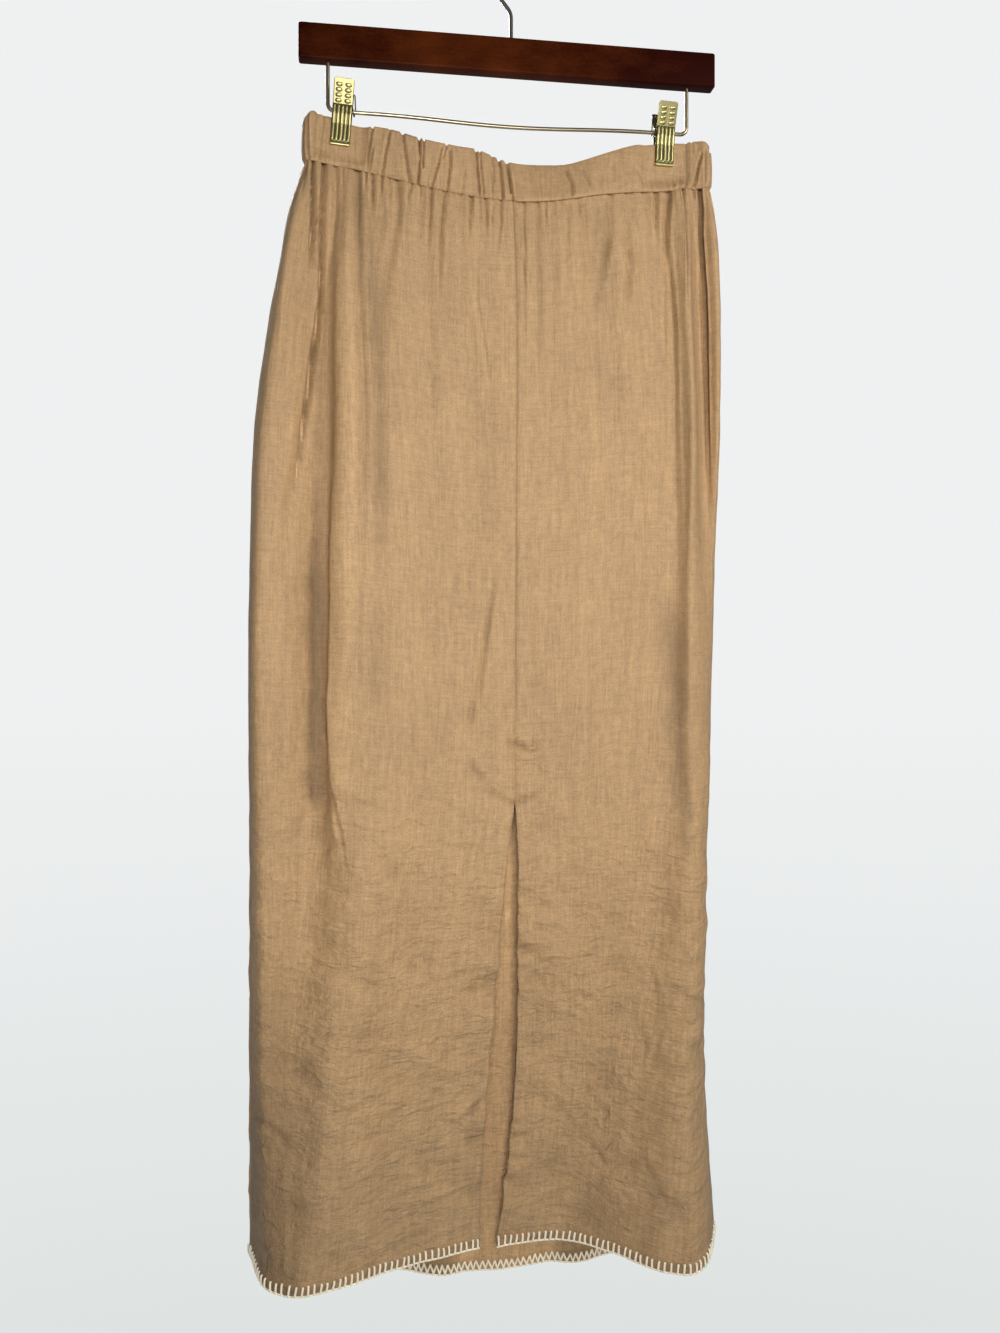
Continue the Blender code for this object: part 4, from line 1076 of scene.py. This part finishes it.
def hem_stitches(panel, finish):
    """Blanket stitch: spokes outside, a zigzag inside and a strand round the edge."""
    _, shares, outer, _ = panel["grid"]
    walked = steps_along(outer[-1])
    draw = np.random.default_rng(SEED + 60 + PANELS.index(panel))
    count = round((walked[-1] - 3) / STITCH_PITCH)
    places = STITCH_END + np.arange(count + 1) * (walked[-1] - 2 * STITCH_END) / count
    places = places + draw.uniform(-STITCH_STRAYS, STITCH_STRAYS, len(places))
    per_mm = 1 / PANEL_LENGTH
    points, faces = [], []
    for place in places:
        lean = draw.uniform(-STITCH_LEANS, STITCH_LEANS)
        up = STITCH_UP + draw.uniform(-0.5, 0.6)
        path = []
        for proud, above, lift in (
            *SPOKE_FOOT, (YARN + 0.1, up * 0.5, 0.0), (YARN, up - 0.7, 0.0), (-0.2, up, 0.0),
        ):
            share = np.interp(place + lean * max(above, 0) / up, walked, shares)
            p = surface_at(panel, share, 1 - max(above, 0) * per_mm, proud)
            path.append(p + np.array([0, 0, lift + min(above, 0)]))
        tube_mesh(path, YARN, 8, points, faces)
    path = []
    for step in np.linspace(0, walked[-1], int(walked[-1] / EDGE_STEP)):
        beat = math.cos(2 * math.pi * (step - places[0]) / STITCH_PITCH)
        p = surface_at(panel, np.interp(step, walked, shares), 1.0, EDGE_OUT - SHEET_WALL / 2)
        path.append(p + np.array([0, 0, EDGE_DOWN + EDGE_BEAT * beat]))
    tube_mesh(path, EDGE_YARN, 8, points, faces)
    for a, b in zip(places, places[1:]):
        top = (a + b) / 2 + draw.uniform(-0.3, 0.3)
        rise = ZIGZAG_UP + draw.uniform(-0.5, 0.5) - ZIGZAG_FOOT
        for foot in (a, b):
            path = []
            for t in ZIGZAG_STEPS:
                share = np.interp(foot * (1 - t) + top * t, walked, shares)
                path.append(surface_at(panel, share, 1 - (ZIGZAG_FOOT + rise * t) * per_mm, INSIDE))
            tube_mesh(path, YARN * ZIGZAG_YARN, 6, points, faces)
    made = mesh_object(f"{panel['name']}_hem_stitch", points, faces, finish, sharp=80.0)
    return made


def seam_stitches(finish):
    """The dotted thread that lies in the waist seam's ditch; its dark colour is partly painted shade of the
    puckers at the stitches.
    """
    loop, facing, _, around = seam_loop(THREAD_SAMPLES)
    draw = np.random.default_rng(SEED + 70)
    points, faces = [], []
    place = 0.0
    while place < around:
        size = draw.uniform(*THREAD_STITCH)
        stitch = (place, place + size / 2, place + size)
        ends = [int(at / around * THREAD_SAMPLES) % THREAD_SAMPLES for at in stitch]
        middle = loop[ends[1]]
        if overhang(middle[0], middle[1]) < 0.5:
            path = []
            for i, bow in zip(ends, THREAD_BOWS):
                p = loop[i] + facing[i] * bow
                path.append((*p, float(edge_height(WAIST_SEAM, p[:1])[0]) + THREAD_UP))
            tube_mesh(path, THREAD, 6, points, faces)
        place += draw.uniform(*THREAD_PITCH_RANGE)
    made = mesh_object("waist_seam_stitch", points, faces, finish, sharp=80.0)
    return made


# Hanger. Heights on a clip are above the rod

ROD_LEVEL = BAR_TOP - BAR_HEIGHT - ROD_DROP
ROD_STRAIGHT = (12, 1)
WIRE_SIDES, BEND_STEPS, ARC_STEPS, SAG_STEPS = 24, 12, 72, 60
HOOK_BEND, HOOK_BEND_SHARES = 5.0, np.linspace(0.08, 0.92, 9)

DIMPLE_ROWS = (17.2, 13.5, 9.8, 6.1)
DIMPLE_COLUMNS = (-3.8, 3.8)
DIMPLE_HALF_WIDTH, DIMPLE_HALF_HEIGHT, DIMPLE_RISE = 2.5, 1.35, 0.75
RIB_PLACES = (-6.6, -3.3, 0.0, 3.3, 6.6)
RIB_HALF, RIB_RISE, RIB_FADE = 1.1, 0.7, 1.2
RIB_TOP, RIB_BOTTOM = 3.2, -26.0
LIP_TOP, LIP_RISE, LIP_FADE = -27.2, 1.0, 0.5
LIP_UP, LIP_HALF, LIP_LEAST = 1.2, 1.6, 0.05
TEETH, TOOTH_UP = (-4.9, -1.65, 1.65, 4.9), -26.2
TOOTH_HALF_WIDTH, TOOTH_HALF_HEIGHT, TOOTH_RISE = 0.7, 0.6, 0.5
PLATE_CORNER, PLATE_ROUND, PLATE_PROUD, SEAT_SPACE = 1.8, 0.6, 0.5, 0.3
PATINA, PATINA_TOP = 0.32, 0.46

SPRING_WIRE, SPRING_RADIUS, SPRING_TURNS, SPRING_STEPS = 0.55, 3.1, 6, 18
SPRING_INSIDE, SPRING_OUTSIDE = 3.0, 2.6
ARM_UP, ARM_LEAN, ARM_OUT, ARM_LOOP = 9.5, 0.4, -1.0, 1.6
ARM_SHARES = np.linspace(0.1, 1, 8)


def arc(centre, radius, start, stop, count):
    angles = np.radians(np.linspace(start, stop, count))
    return [(centre[0] + radius * math.cos(a), 0.0, centre[1] + radius * math.sin(a)) for a in angles]


def build_wire(name, path, radius, finish, node):
    points, faces = [], []
    tube_mesh(path, radius, WIRE_SIDES, points, faces)
    made = mesh_object(name, points, faces, finish, sharp=60.0)
    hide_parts(node)


def build_hook(finish):
    """The hook: a straight shank, a soft bend, and the crown, over the top and down the other side."""
    middle = -HOOK_RADIUS + HOOK_WIRE
    lean = math.radians(HOOK_LEAN)
    meet = np.array([-HOOK_RADIUS * math.cos(lean), middle - HOOK_RADIUS * math.sin(lean)])
    corner = np.array([0, meet[1] - abs(meet[0]) / math.tan(lean)])
    start = corner - (0, HOOK_BEND)
    end = corner + (meet - corner) / np.linalg.norm(meet - corner) * HOOK_BEND
    path = [(0, 0, BAR_TOP - 1), (0, 0, start[1])]
    for t in (*HOOK_BEND_SHARES, 1):
        x, z = start * (1 - t) ** 2 + corner * 2 * t * (1 - t) + end * t * t
        path.append((x, 0, z))
    path += arc((0, middle), HOOK_RADIUS, 180 + HOOK_LEAN, HOOK_END, ARC_STEPS)
    build_wire("hanger_hook_wire", path, HOOK_WIRE, finish, "hanger_hook")


def build_rod(finish):
    """The clip wire: down from the bar, round a bend, along with a slight sag, and up again."""
    turn = ROD_LEVEL + ROD_BEND
    side = [(-ROD_HALF, 0, BAR_TOP - BAR_HEIGHT + 1), *((-ROD_HALF, 0, turn + up) for up in ROD_STRAIGHT)]
    side += arc((-ROD_HALF + ROD_BEND, turn), ROD_BEND, 180, 270, BEND_STEPS)
    path = list(side)
    for x in np.linspace(-ROD_SAG_HALF, ROD_SAG_HALF, SAG_STEPS):
        path.append((x, 0, ROD_LEVEL - ROD_SAG * bell(x / ROD_SAG_HALF)))
    path += [(-x, y, z) for x, y, z in reversed(side)]
    build_wire("hanger_rod_wire", path, ROD_WIRE, finish, "hanger_rod")


def build_bar(finish):
    mesh = bmesh.new()
    bmesh.ops.create_cube(mesh, size=1.0)
    bmesh.ops.scale(mesh, vec=(BAR_LENGTH * MM, BAR_DEPTH * MM, BAR_HEIGHT * MM), verts=mesh.verts)
    bmesh.ops.bevel(mesh, geom=mesh.edges[:], offset=BAR_EDGE * MM, segments=6, profile=0.5, affect="EDGES")
    data = bpy.data.meshes.new("hanger_bar_wood")
    mesh.to_mesh(data)
    mesh.free()
    data.transform(Matrix.Translation((0, 0, (BAR_TOP - BAR_HEIGHT / 2) * MM)))
    made = finished_object("hanger_bar_wood", data, finish, sharp=30.0)
    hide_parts("hanger_bar")


def plate_distance(up):
    """How far a plate's inner face stands from the mid-plane at this height above the rod."""
    jaw = GRIP_Y + SEAT_SPACE
    seat = SLEEVE_RADIUS + SEAT_SPACE
    heights = (CLIP_TIP, JAW_TOP, JAW_SLOPE_TOP, CLIP_BEND, CLIP_TOP)
    return np.interp(up, heights, (jaw, jaw, seat, seat, seat + FINGER_SPREAD))


def plate_relief(x, up):
    """Dimples on the finger part, ribs, a lip along the tip and teeth above it."""
    relief = np.zeros(np.shape(x))
    for row in DIMPLE_ROWS:
        for column in DIMPLE_COLUMNS:
            q = ((x - column) / DIMPLE_HALF_WIDTH) ** 2 + ((up - row) / DIMPLE_HALF_HEIGHT) ** 2
            relief += DIMPLE_RISE * dome(q)
    ribbed = smooth((RIB_TOP - up) / RIB_FADE) * smooth((up - RIB_BOTTOM) / RIB_FADE)
    for place in RIB_PLACES:
        relief += RIB_RISE * ribbed * dome(((x - place) / RIB_HALF) ** 2)
    lip = dome(((up - CLIP_TIP - LIP_UP) / LIP_HALF) ** 2, LIP_LEAST)
    relief += LIP_RISE * smooth((LIP_TOP - up) / LIP_FADE) * lip
    for place in TEETH:
        q = ((x - place) / TOOTH_HALF_WIDTH) ** 2 + ((up - TOOTH_UP) / TOOTH_HALF_HEIGHT) ** 2
        relief += TOOTH_RISE * dome(q)
    return relief


def build_plate(clip, side, label, finish):
    """One plate of a clip, with round corners, on the side of -1, the front, or 1, the back."""
    columns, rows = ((48, 150))
    ups = np.linspace(CLIP_TOP, CLIP_TIP, rows + 1)
    edge = np.minimum(CLIP_TOP - ups, ups - CLIP_TIP)
    cut = np.sqrt(np.clip(PLATE_CORNER**2 - np.clip(PLATE_CORNER - edge, 0, None) ** 2, 0, None))
    half = CLIP_WIDTH / 2 - np.where(edge < PLATE_CORNER, PLATE_CORNER - cut, 0)
    x = np.linspace(-1, 1, columns + 1)[None, :] * half[:, None]
    up = np.repeat(ups[:, None], columns + 1, axis=1)
    inner = plate_distance(up)
    relief = plate_relief(x, up)
    rim = np.minimum(half[:, None] - np.abs(x), np.minimum(CLIP_TOP - up, up - CLIP_TIP))
    rounded = PLATE_PROUD * (1 - dome(np.clip(1 - rim / PLATE_ROUND, 0, 1) ** 2))
    outer = inner + CLIP_PLATE + relief - rounded
    sheets = [np.stack([x, side * distance, up], 2) for distance in (outer, inner)]
    points = np.concatenate([sheet.reshape(-1, 3) for sheet in sheets])
    wide = columns + 1
    start = (rows + 1) * wide
    faces = quads(rows + 1, wide, 0) + quads(rows + 1, wide, start)
    index = np.arange(start).reshape(rows + 1, wide)
    for border in (index[0], index[-1], index[:, 0], index[:, -1]):
        for a, b in zip(border.tolist(), border[1:].tolist()):
            faces.append((a, b, b + start, a + start))
    lean = math.radians(clip["lean"])
    turned = points.copy()
    turned[:, 0] = points[:, 0] * math.cos(lean) + points[:, 2] * math.sin(lean) + clip["x"]
    turned[:, 2] = -points[:, 0] * math.sin(lean) + points[:, 2] * math.cos(lean) + ROD_LEVEL
    name = f"{clip['name']}_{label}"
    hollow = np.where(up > RIB_TOP, PATINA_TOP, PATINA)
    shade = hollow + (1 - hollow) * np.clip(relief / RIB_RISE, 0, 1)
    tone = np.concatenate([shade.ravel(), np.full(shade.size, PATINA_TOP)])
    made = mesh_object(f"{name}_plate", turned, faces, finish, sharp=40.0, tone=tone)
    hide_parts(name)


def build_spring(clip, finish):
    """The coil spring round the wire, with the arm that shows on its inner side."""
    inward = clip["inward"]
    start = clip["x"] - inward * (CLIP_WIDTH / 2 - SPRING_INSIDE)
    end = clip["x"] + inward * (CLIP_WIDTH / 2 + SPRING_OUTSIDE)
    top = ROD_LEVEL + SPRING_RADIUS
    path = []
    for t in np.linspace(0, SPRING_TURNS, SPRING_TURNS * SPRING_STEPS):
        a = 2 * math.pi * t + math.pi / 2
        x = start + (end - start) * t / SPRING_TURNS
        path.append((x, SPRING_RADIUS * math.cos(a), ROD_LEVEL + SPRING_RADIUS * math.sin(a)))
    for t in ARM_SHARES:
        path.append((end - inward * ARM_LEAN * t, ARM_OUT * t, top + ARM_UP * t))
    for t in ARM_SHARES:
        x = end - inward * (ARM_LEAN + ARM_LOOP * (1 - math.cos(math.pi * t)))
        path.append((x, ARM_OUT, top + ARM_UP + ARM_LOOP * math.sin(math.pi * t)))
    points, faces = [], []
    tube_mesh(path, SPRING_WIRE, 10, points, faces)
    made = mesh_object(f"{clip['name']}_spring", points, faces, finish, sharp=60.0)
    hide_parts(f"{clip['name']}_sleeve")


# Finishes. Noise is scaled per metre of its cloth or its object

LINEN, LINEN_ROUGHNESS, LINEN_SPECULAR = (0.481, 0.314, 0.164), 0.53, 0.46
SHEEN, SHEEN_ROUGHNESS, SHEEN_TINT = 0.12, 0.5, (1.0, 0.86, 0.68, 1.0)

# Slubs down and across, streaks, clouds, mottling and flecks: scale, detail and how much each colours
LINEN_PATTERNS = (
    ((620, 38, 0), 3.0, 0.48),
    ((42, 560, 0), 3.0, 0.28),
    ((150, 7, 0), 3.0, 0.26),
    ((24, 14, 0), 3.0, 0.22),
    ((210, 170, 0), 2.0, 0.34),
    ((820, 760, 0), 2.0, 0.55),
)
THREAD_SIZE, WEAVE = 0.00055, 0.35

# Small crumples and thin ridges are only bumps, and come in below the hips
WORN_START, WORN_RATE, WORN_LEAST = 0.36, 3.0, 0.12
CRUMPLE_SCALE, CRUMPLE_DETAIL, CRUMPLE_ROUGHNESS, CRUMPLE_HEIGHT = (42, 82, 0), 5.0, 0.62, 37.0
LINE_SCALE, LINE_SHARPNESS, LINE_HEIGHT = (17, 31, 0), 26.0, 4.5
PATCH_SCALE, PATCH_FROM, PATCH_RATE = (13, 16, 0), 0.44, 7.0

YARN_COLOUR, YARN_FUZZ, YARN_FLECK = (0.96, 0.88, 0.71), (1800, 1800, 1800), 0.25
# A real thread, whose dark colour is partly painted shade of the puckers at the stitches
SHADED_THREAD_COLOUR = (0.17, 0.09, 0.04, 1)

WOOD_DARK, WOOD_LIGHT = (0.30, (0.032, 0.0036, 0.0010)), (0.68, (0.110, 0.026, 0.0045))
WOOD_PATCH, WOOD_GRAIN, WOOD_FINE = ((22, 20, 40), 0.62), ((40, 500, 500), 0.18), ((500, 900, 900), 0.26)
WOOD_CENTRE, WOOD_ENDS, WOOD_ROUGHNESS = 0.035, 0.26, 0.6

BRUSHED, BRUSHED_FLECK = (900, 900, 300), 0.12
LINEN_BUMP, YARN_BUMP, WOOD_BUMP = (0.0003, 0.8), (0.0003, 0.6), (0.0001, 0.2)
NICKEL = ((0.50, 0.47, 0.42), 0.28)
CHAMPAGNE = ((0.50, 0.43, 0.30), 0.34)
BRASS = ((0.66, 0.59, 0.29), 0.42)
SPRING_STEEL = ((0.20, 0.17, 0.11), 0.35)


class Nodes:
    """Short calls for a material's nodes."""

    def __init__(self, name):
        self.material = bpy.data.materials.new(name)
        self.material.use_nodes = True
        self.tree = self.material.node_tree
        self.shader = self.tree.nodes["Principled BSDF"]

    def put(self, values):
        for socket, value in values.items():
            self.shader.inputs[socket].default_value = value

    def add(self, kind, **values):
        made = self.tree.nodes.new(kind)
        for key, value in values.items():
            setattr(made, key, value)
        return made

    def link(self, a, b):
        self.tree.links.new(a, b)

    def where(self):
        return self.add("ShaderNodeTexCoord").outputs["Object"]

    def tone(self):
        return self.add("ShaderNodeAttribute", attribute_name="tone").outputs["Fac"]

    def split(self, vector):
        made = self.add("ShaderNodeSeparateXYZ")
        self.link(vector, made.inputs[0])
        return made.outputs

    def math(self, operation, first, *rest):
        """Joins values and sockets one after another with an operation of one or two inputs."""
        result = first
        for value in rest or (None,):
            made = self.add("ShaderNodeMath", operation=operation)
            for socket, given in zip(made.inputs, (result, value)):
                if isinstance(given, (int, float)):
                    socket.default_value = given
                elif given is not None:
                    self.link(given, socket)
            result = made.outputs[0]
        return result

    def times(self, *values):
        return self.math("MULTIPLY", *values)

    def plus(self, *values):
        return self.math("ADD", *values)

    def minus(self, *values):
        return self.math("SUBTRACT", *values)

    def between(self, value, low, high):
        return self.math("MINIMUM", self.math("MAXIMUM", value, low), high)

    def noise(self, vector, scale, detail=2.0, roughness=0.5):
        stretched = self.add("ShaderNodeVectorMath", operation="MULTIPLY")
        self.link(vector, stretched.inputs[0])
        stretched.inputs[1].default_value = scale
        made = self.add("ShaderNodeTexNoise")
        for socket, value in (("Scale", 1.0), ("Detail", detail), ("Roughness", roughness)):
            made.inputs[socket].default_value = value
        self.link(stretched.outputs[0], made.inputs["Vector"])
        return made.outputs["Fac"]

    def varied(self, *parts):
        """1 plus each amount times its pattern's distance from 0.5."""
        swings = [self.times(self.minus(pattern, 0.5), amount) for pattern, amount in parts]
        return self.plus(*swings, 1.0)

    def colour_times(self, colour, factor):
        made = self.add("ShaderNodeVectorMath", operation="SCALE")
        made.inputs[0].default_value = colour
        self.link(factor, made.inputs["Scale"])
        self.link(made.outputs[0], self.shader.inputs["Base Color"])

    def bump(self, height, distance, strength):
        made = self.add("ShaderNodeBump")
        made.inputs["Strength"].default_value = strength
        made.inputs["Distance"].default_value = distance
        self.link(height, made.inputs["Height"])
        self.link(made.outputs["Normal"], self.shader.inputs["Normal"])


def set_ramp(ramp, stops):
    for element, (position, colour) in zip(ramp.color_ramp.elements, stops):
        element.position = position
        element.color = (*colour, 1)


def linen():
    """Tan linen: slubbed threads, a weave of fine bumps, and crumples where the cloth is worn."""
    n = Nodes("linen")
    cloth = n.add("ShaderNodeUVMap", uv_map="cloth").outputs["UV"]
    patterns = [n.noise(cloth, scale, detail) for scale, detail, _ in LINEN_PATTERNS]
    factor = n.varied(*((pattern, row[-1]) for pattern, row in zip(patterns, LINEN_PATTERNS)))
    # the tone attribute brings painted shade and painted light as well as the cloth's own darker strips
    n.colour_times(LINEN, n.times(factor, n.tone()))
    n.put({"Roughness": LINEN_ROUGHNESS, "Specular IOR Level": LINEN_SPECULAR})
    n.put({"Sheen Weight": SHEEN, "Sheen Roughness": SHEEN_ROUGHNESS, "Sheen Tint": SHEEN_TINT})
    across, down, _ = n.split(cloth)
    warp, weft = (n.math("SINE", n.times(way, math.pi / THREAD_SIZE)) for way in (across, down))
    height = n.plus(n.times(warp, weft, WEAVE), n.plus(*patterns[:2]))
    worn = n.between(n.times(n.minus(down, WORN_START), WORN_RATE), WORN_LEAST, 1.0)
    crumples = n.noise(cloth, CRUMPLE_SCALE, CRUMPLE_DETAIL, CRUMPLE_ROUGHNESS)
    line = n.math("ABSOLUTE", n.minus(n.noise(cloth, LINE_SCALE), 0.5))
    line = n.math("MAXIMUM", n.minus(1.0, n.times(line, LINE_SHARPNESS)), 0.0)
    patch = n.between(n.times(n.minus(n.noise(cloth, PATCH_SCALE), PATCH_FROM), PATCH_RATE), 0.0, 1.0)
    height = n.plus(height, n.times(crumples, worn, CRUMPLE_HEIGHT), n.times(line, patch, worn, LINE_HEIGHT))
    n.bump(height, *LINEN_BUMP)
    return n.material


def yarn():
    n = Nodes("yarn")
    fuzz = n.noise(n.where(), YARN_FUZZ)
    n.colour_times(YARN_COLOUR, n.varied((fuzz, YARN_FLECK)))
    n.put({"Roughness": 0.85})
    n.bump(fuzz, *YARN_BUMP)
    return n.material


def thread_with_painted_shade():
    # dark thread, partly painted shade of the puckers at the stitches
    n = Nodes("seam_thread_and_shade")
    n.put({"Base Color": SHADED_THREAD_COLOUR, "Roughness": 0.8})
    return n.material


def mahogany():
    """Stained wood: patches and grain along the bar, darker toward its ends."""
    n = Nodes("mahogany")
    where = n.where()
    grain = n.noise(where, WOOD_GRAIN[0], 4.0, WOOD_ROUGHNESS)
    patch = n.noise(where, WOOD_PATCH[0], 4.0, WOOD_ROUGHNESS)
    fine = n.noise(where, WOOD_FINE[0], 3.0)
    along = n.math("ABSOLUTE", n.plus(n.split(where)[0], WOOD_CENTRE))
    ends = n.math("POWER", n.times(along, 2 / (BAR_LENGTH * MM)), 2.0)
    mixed = n.plus(n.times(patch, WOOD_PATCH[1]), n.times(grain, WOOD_GRAIN[1]), n.times(fine, WOOD_FINE[1]))
    ramp = n.add("ShaderNodeValToRGB")
    set_ramp(ramp, (WOOD_DARK, WOOD_LIGHT))
    n.link(n.minus(mixed, n.times(ends, WOOD_ENDS)), ramp.inputs["Fac"])
    n.link(ramp.outputs["Color"], n.shader.inputs["Base Color"])
    n.put({"Roughness": 0.4, "Specular IOR Level": 0.06})
    n.bump(fine, *WOOD_BUMP)
    return n.material


def metal(name, colour, roughness, hollows=False):
    """Brushed metal, darker in its hollows where the tone says so."""
    n = Nodes(name)
    factor = n.varied((n.noise(n.where(), BRUSHED), BRUSHED_FLECK))
    n.colour_times(colour, n.times(factor, n.tone()) if hollows else factor)
    n.put({"Metallic": 1.0, "Roughness": roughness})
    return n.material


# Stage, in metres

FLOOR_Z, FLOOR_RADIUS = -1.9, 1.25
FLOOR_PLAIN, FLOOR_EDGE, FLOOR_GLOW = 0.35, 1.15, 0.4
FLOOR_COLOUR = (0.90, 0.92, 0.92)
BACKDROP, BACKDROP_LOW = (0.88, 0.89, 0.895), (0.75, 0.785, 0.775)
ROOM, ROOM_BEHIND = (0.13, 0.13, 0.13), (0.42, 0.42, 0.42)

# What is seen and what lights the cloth: axis of the direction, and (share of the way, colour) at each end
BACKDROP_STOPS = (2, (0.24, BACKDROP_LOW), (0.48, BACKDROP))
ROOM_STOPS = (1, (0.5, ROOM), (0.85, ROOM_BEHIND))

# Each lamp: name, place, what it points at, size, power, colour and spread
LAMPS = (
    ("key", (0.98, -0.95, 0.08), (0.0, 0.0, -0.5), 0.4, 3.9, (1.0, 0.99, 0.97), 120),
    ("front", (-0.10, -1.40, -0.54), (0.0, 0.0, -0.52), 0.6, 6.7, (1.0, 1.0, 1.0), 120),
    ("behind", (-0.35, 1.6, 0.9), (0.0, 0.1, -0.95), 1.0, 36.0, (1.0, 1.0, 1.0), 140),
)
LENS, SENSOR, CAMERA_TURN = 31.06, 36.0, -8.13
GAMMA = 0.88


def area_light(name, place, toward, size, power, colour, spread):
    light = bpy.data.lights.new(name, "AREA")
    light.shape = "DISK"
    light.size = size
    light.energy = power
    light.color = colour
    light.spread = math.radians(spread)
    made = bpy.data.objects.new(name, light)
    made.location = place
    aim = Vector(toward) - Vector(place)
    made.rotation_euler = aim.to_track_quat("-Z", "Y").to_euler()
    made.visible_camera = False
    bpy.context.scene.collection.objects.link(made)


def direction_ramp(tree, split, axis, *stops):
    """A world colour that changes along one axis of the direction."""
    ramp = tree.nodes.new("ShaderNodeValToRGB")
    set_ramp(ramp, stops)
    middle = tree.nodes.new("ShaderNodeMath")
    middle.operation = "MULTIPLY_ADD"
    middle.inputs[1].default_value = 0.5
    middle.inputs[2].default_value = 0.5
    tree.links.new(split.outputs[axis], middle.inputs[0])
    tree.links.new(middle.outputs[0], ramp.inputs["Fac"])
    return ramp.outputs["Color"]


def build_world():
    """A pale backdrop to look at, and a dimmer room that lights the cloth."""
    world = bpy.data.worlds.new("studio")
    world.use_nodes = True
    tree = world.node_tree
    where = tree.nodes.new("ShaderNodeTexCoord")
    split = tree.nodes.new("ShaderNodeSeparateXYZ")
    tree.links.new(where.outputs["Generated"], split.inputs[0])
    seen = direction_ramp(tree, split, *BACKDROP_STOPS)
    room = direction_ramp(tree, split, *ROOM_STOPS)
    rays = tree.nodes.new("ShaderNodeLightPath")
    mixed = tree.nodes.new("ShaderNodeMix")
    mixed.data_type = "RGBA"
    tree.links.new(rays.outputs["Is Camera Ray"], mixed.inputs["Factor"])
    tree.links.new(room, mixed.inputs["A"])
    tree.links.new(seen, mixed.inputs["B"])
    tree.links.new(mixed.outputs["Result"], tree.nodes["Background"].inputs["Color"])
    bpy.context.scene.world = world


def glowing_floor():
    """Glows with painted light: a little in the middle, which lifts the shadows on it, and as bright as the
    backdrop at its rim.
    """
    n = Nodes("glowing_floor")
    away = n.add("ShaderNodeVectorMath", operation="LENGTH")
    n.link(n.where(), away.inputs[0])
    rim = n.add("ShaderNodeMapRange", interpolation_type="SMOOTHSTEP")
    n.link(away.outputs["Value"], rim.inputs["Value"])
    for socket, value in (("From Min", FLOOR_PLAIN), ("From Max", FLOOR_EDGE), ("To Min", FLOOR_GLOW)):
        rim.inputs[socket].default_value = value
    # painted light: the floor glows, least in the middle and as bright as the backdrop at its rim
    n.link(rim.outputs["Result"], n.shader.inputs["Emission Strength"])
    n.colour_times(FLOOR_COLOUR, n.minus(1.0, rim.outputs["Result"]))
    n.put({"Emission Color": (*BACKDROP_LOW, 1), "Roughness": 0.9, "Specular IOR Level": 0.0})
    return n.material


def build_stage():
    work = bmesh.new()
    bmesh.ops.create_circle(work, cap_ends=True, segments=96, radius=FLOOR_RADIUS)
    data = bpy.data.meshes.new("floor")
    work.to_mesh(data)
    work.free()
    data.materials.append(glowing_floor())
    floor = bpy.data.objects.new("floor", data)
    floor.location = (0, 0, FLOOR_Z)
    bpy.context.scene.collection.objects.link(floor)
    build_world()
    for lamp in LAMPS:
        area_light(*lamp)


def build_camera():
    data = bpy.data.cameras.new("camera")
    data.lens = LENS
    data.sensor_width = SENSOR
    data.sensor_fit = "AUTO"
    data.clip_start = 0.01
    made = bpy.data.objects.new("camera", data)
    made.location = [at * MM for at in EYE]
    made.rotation_euler = (math.radians(90), 0, math.radians(CAMERA_TURN))
    bpy.context.scene.collection.objects.link(made)
    bpy.context.scene.camera = made


def main():
    bpy.context.scene.view_settings.view_transform = "Standard"
    bpy.context.scene.view_settings.gamma = GAMMA
    cloth = linen()
    cream = yarn()
    made = {panel["name"]: build_panel(panel, cloth) for panel in PANELS}
    stitched = {panel["name"]: hem_stitches(panel, cream) for panel in PANELS}
    band, around = build_waistband(cloth)
    seam = seam_stitches(thread_with_painted_shade())
    build_bar(mahogany())
    build_hook(metal("nickel", *NICKEL))
    build_rod(metal("champagne", *CHAMPAGNE))
    brass = metal("brass", *BRASS, hollows=True)
    dark = metal("spring_steel", *SPRING_STEEL)
    for clip in CLIPS:
        build_plate(clip, -1, "front", brass)
        build_plate(clip, 1, "back", brass)
        build_spring(clip, dark)
    build_stage()
    build_camera()


main()
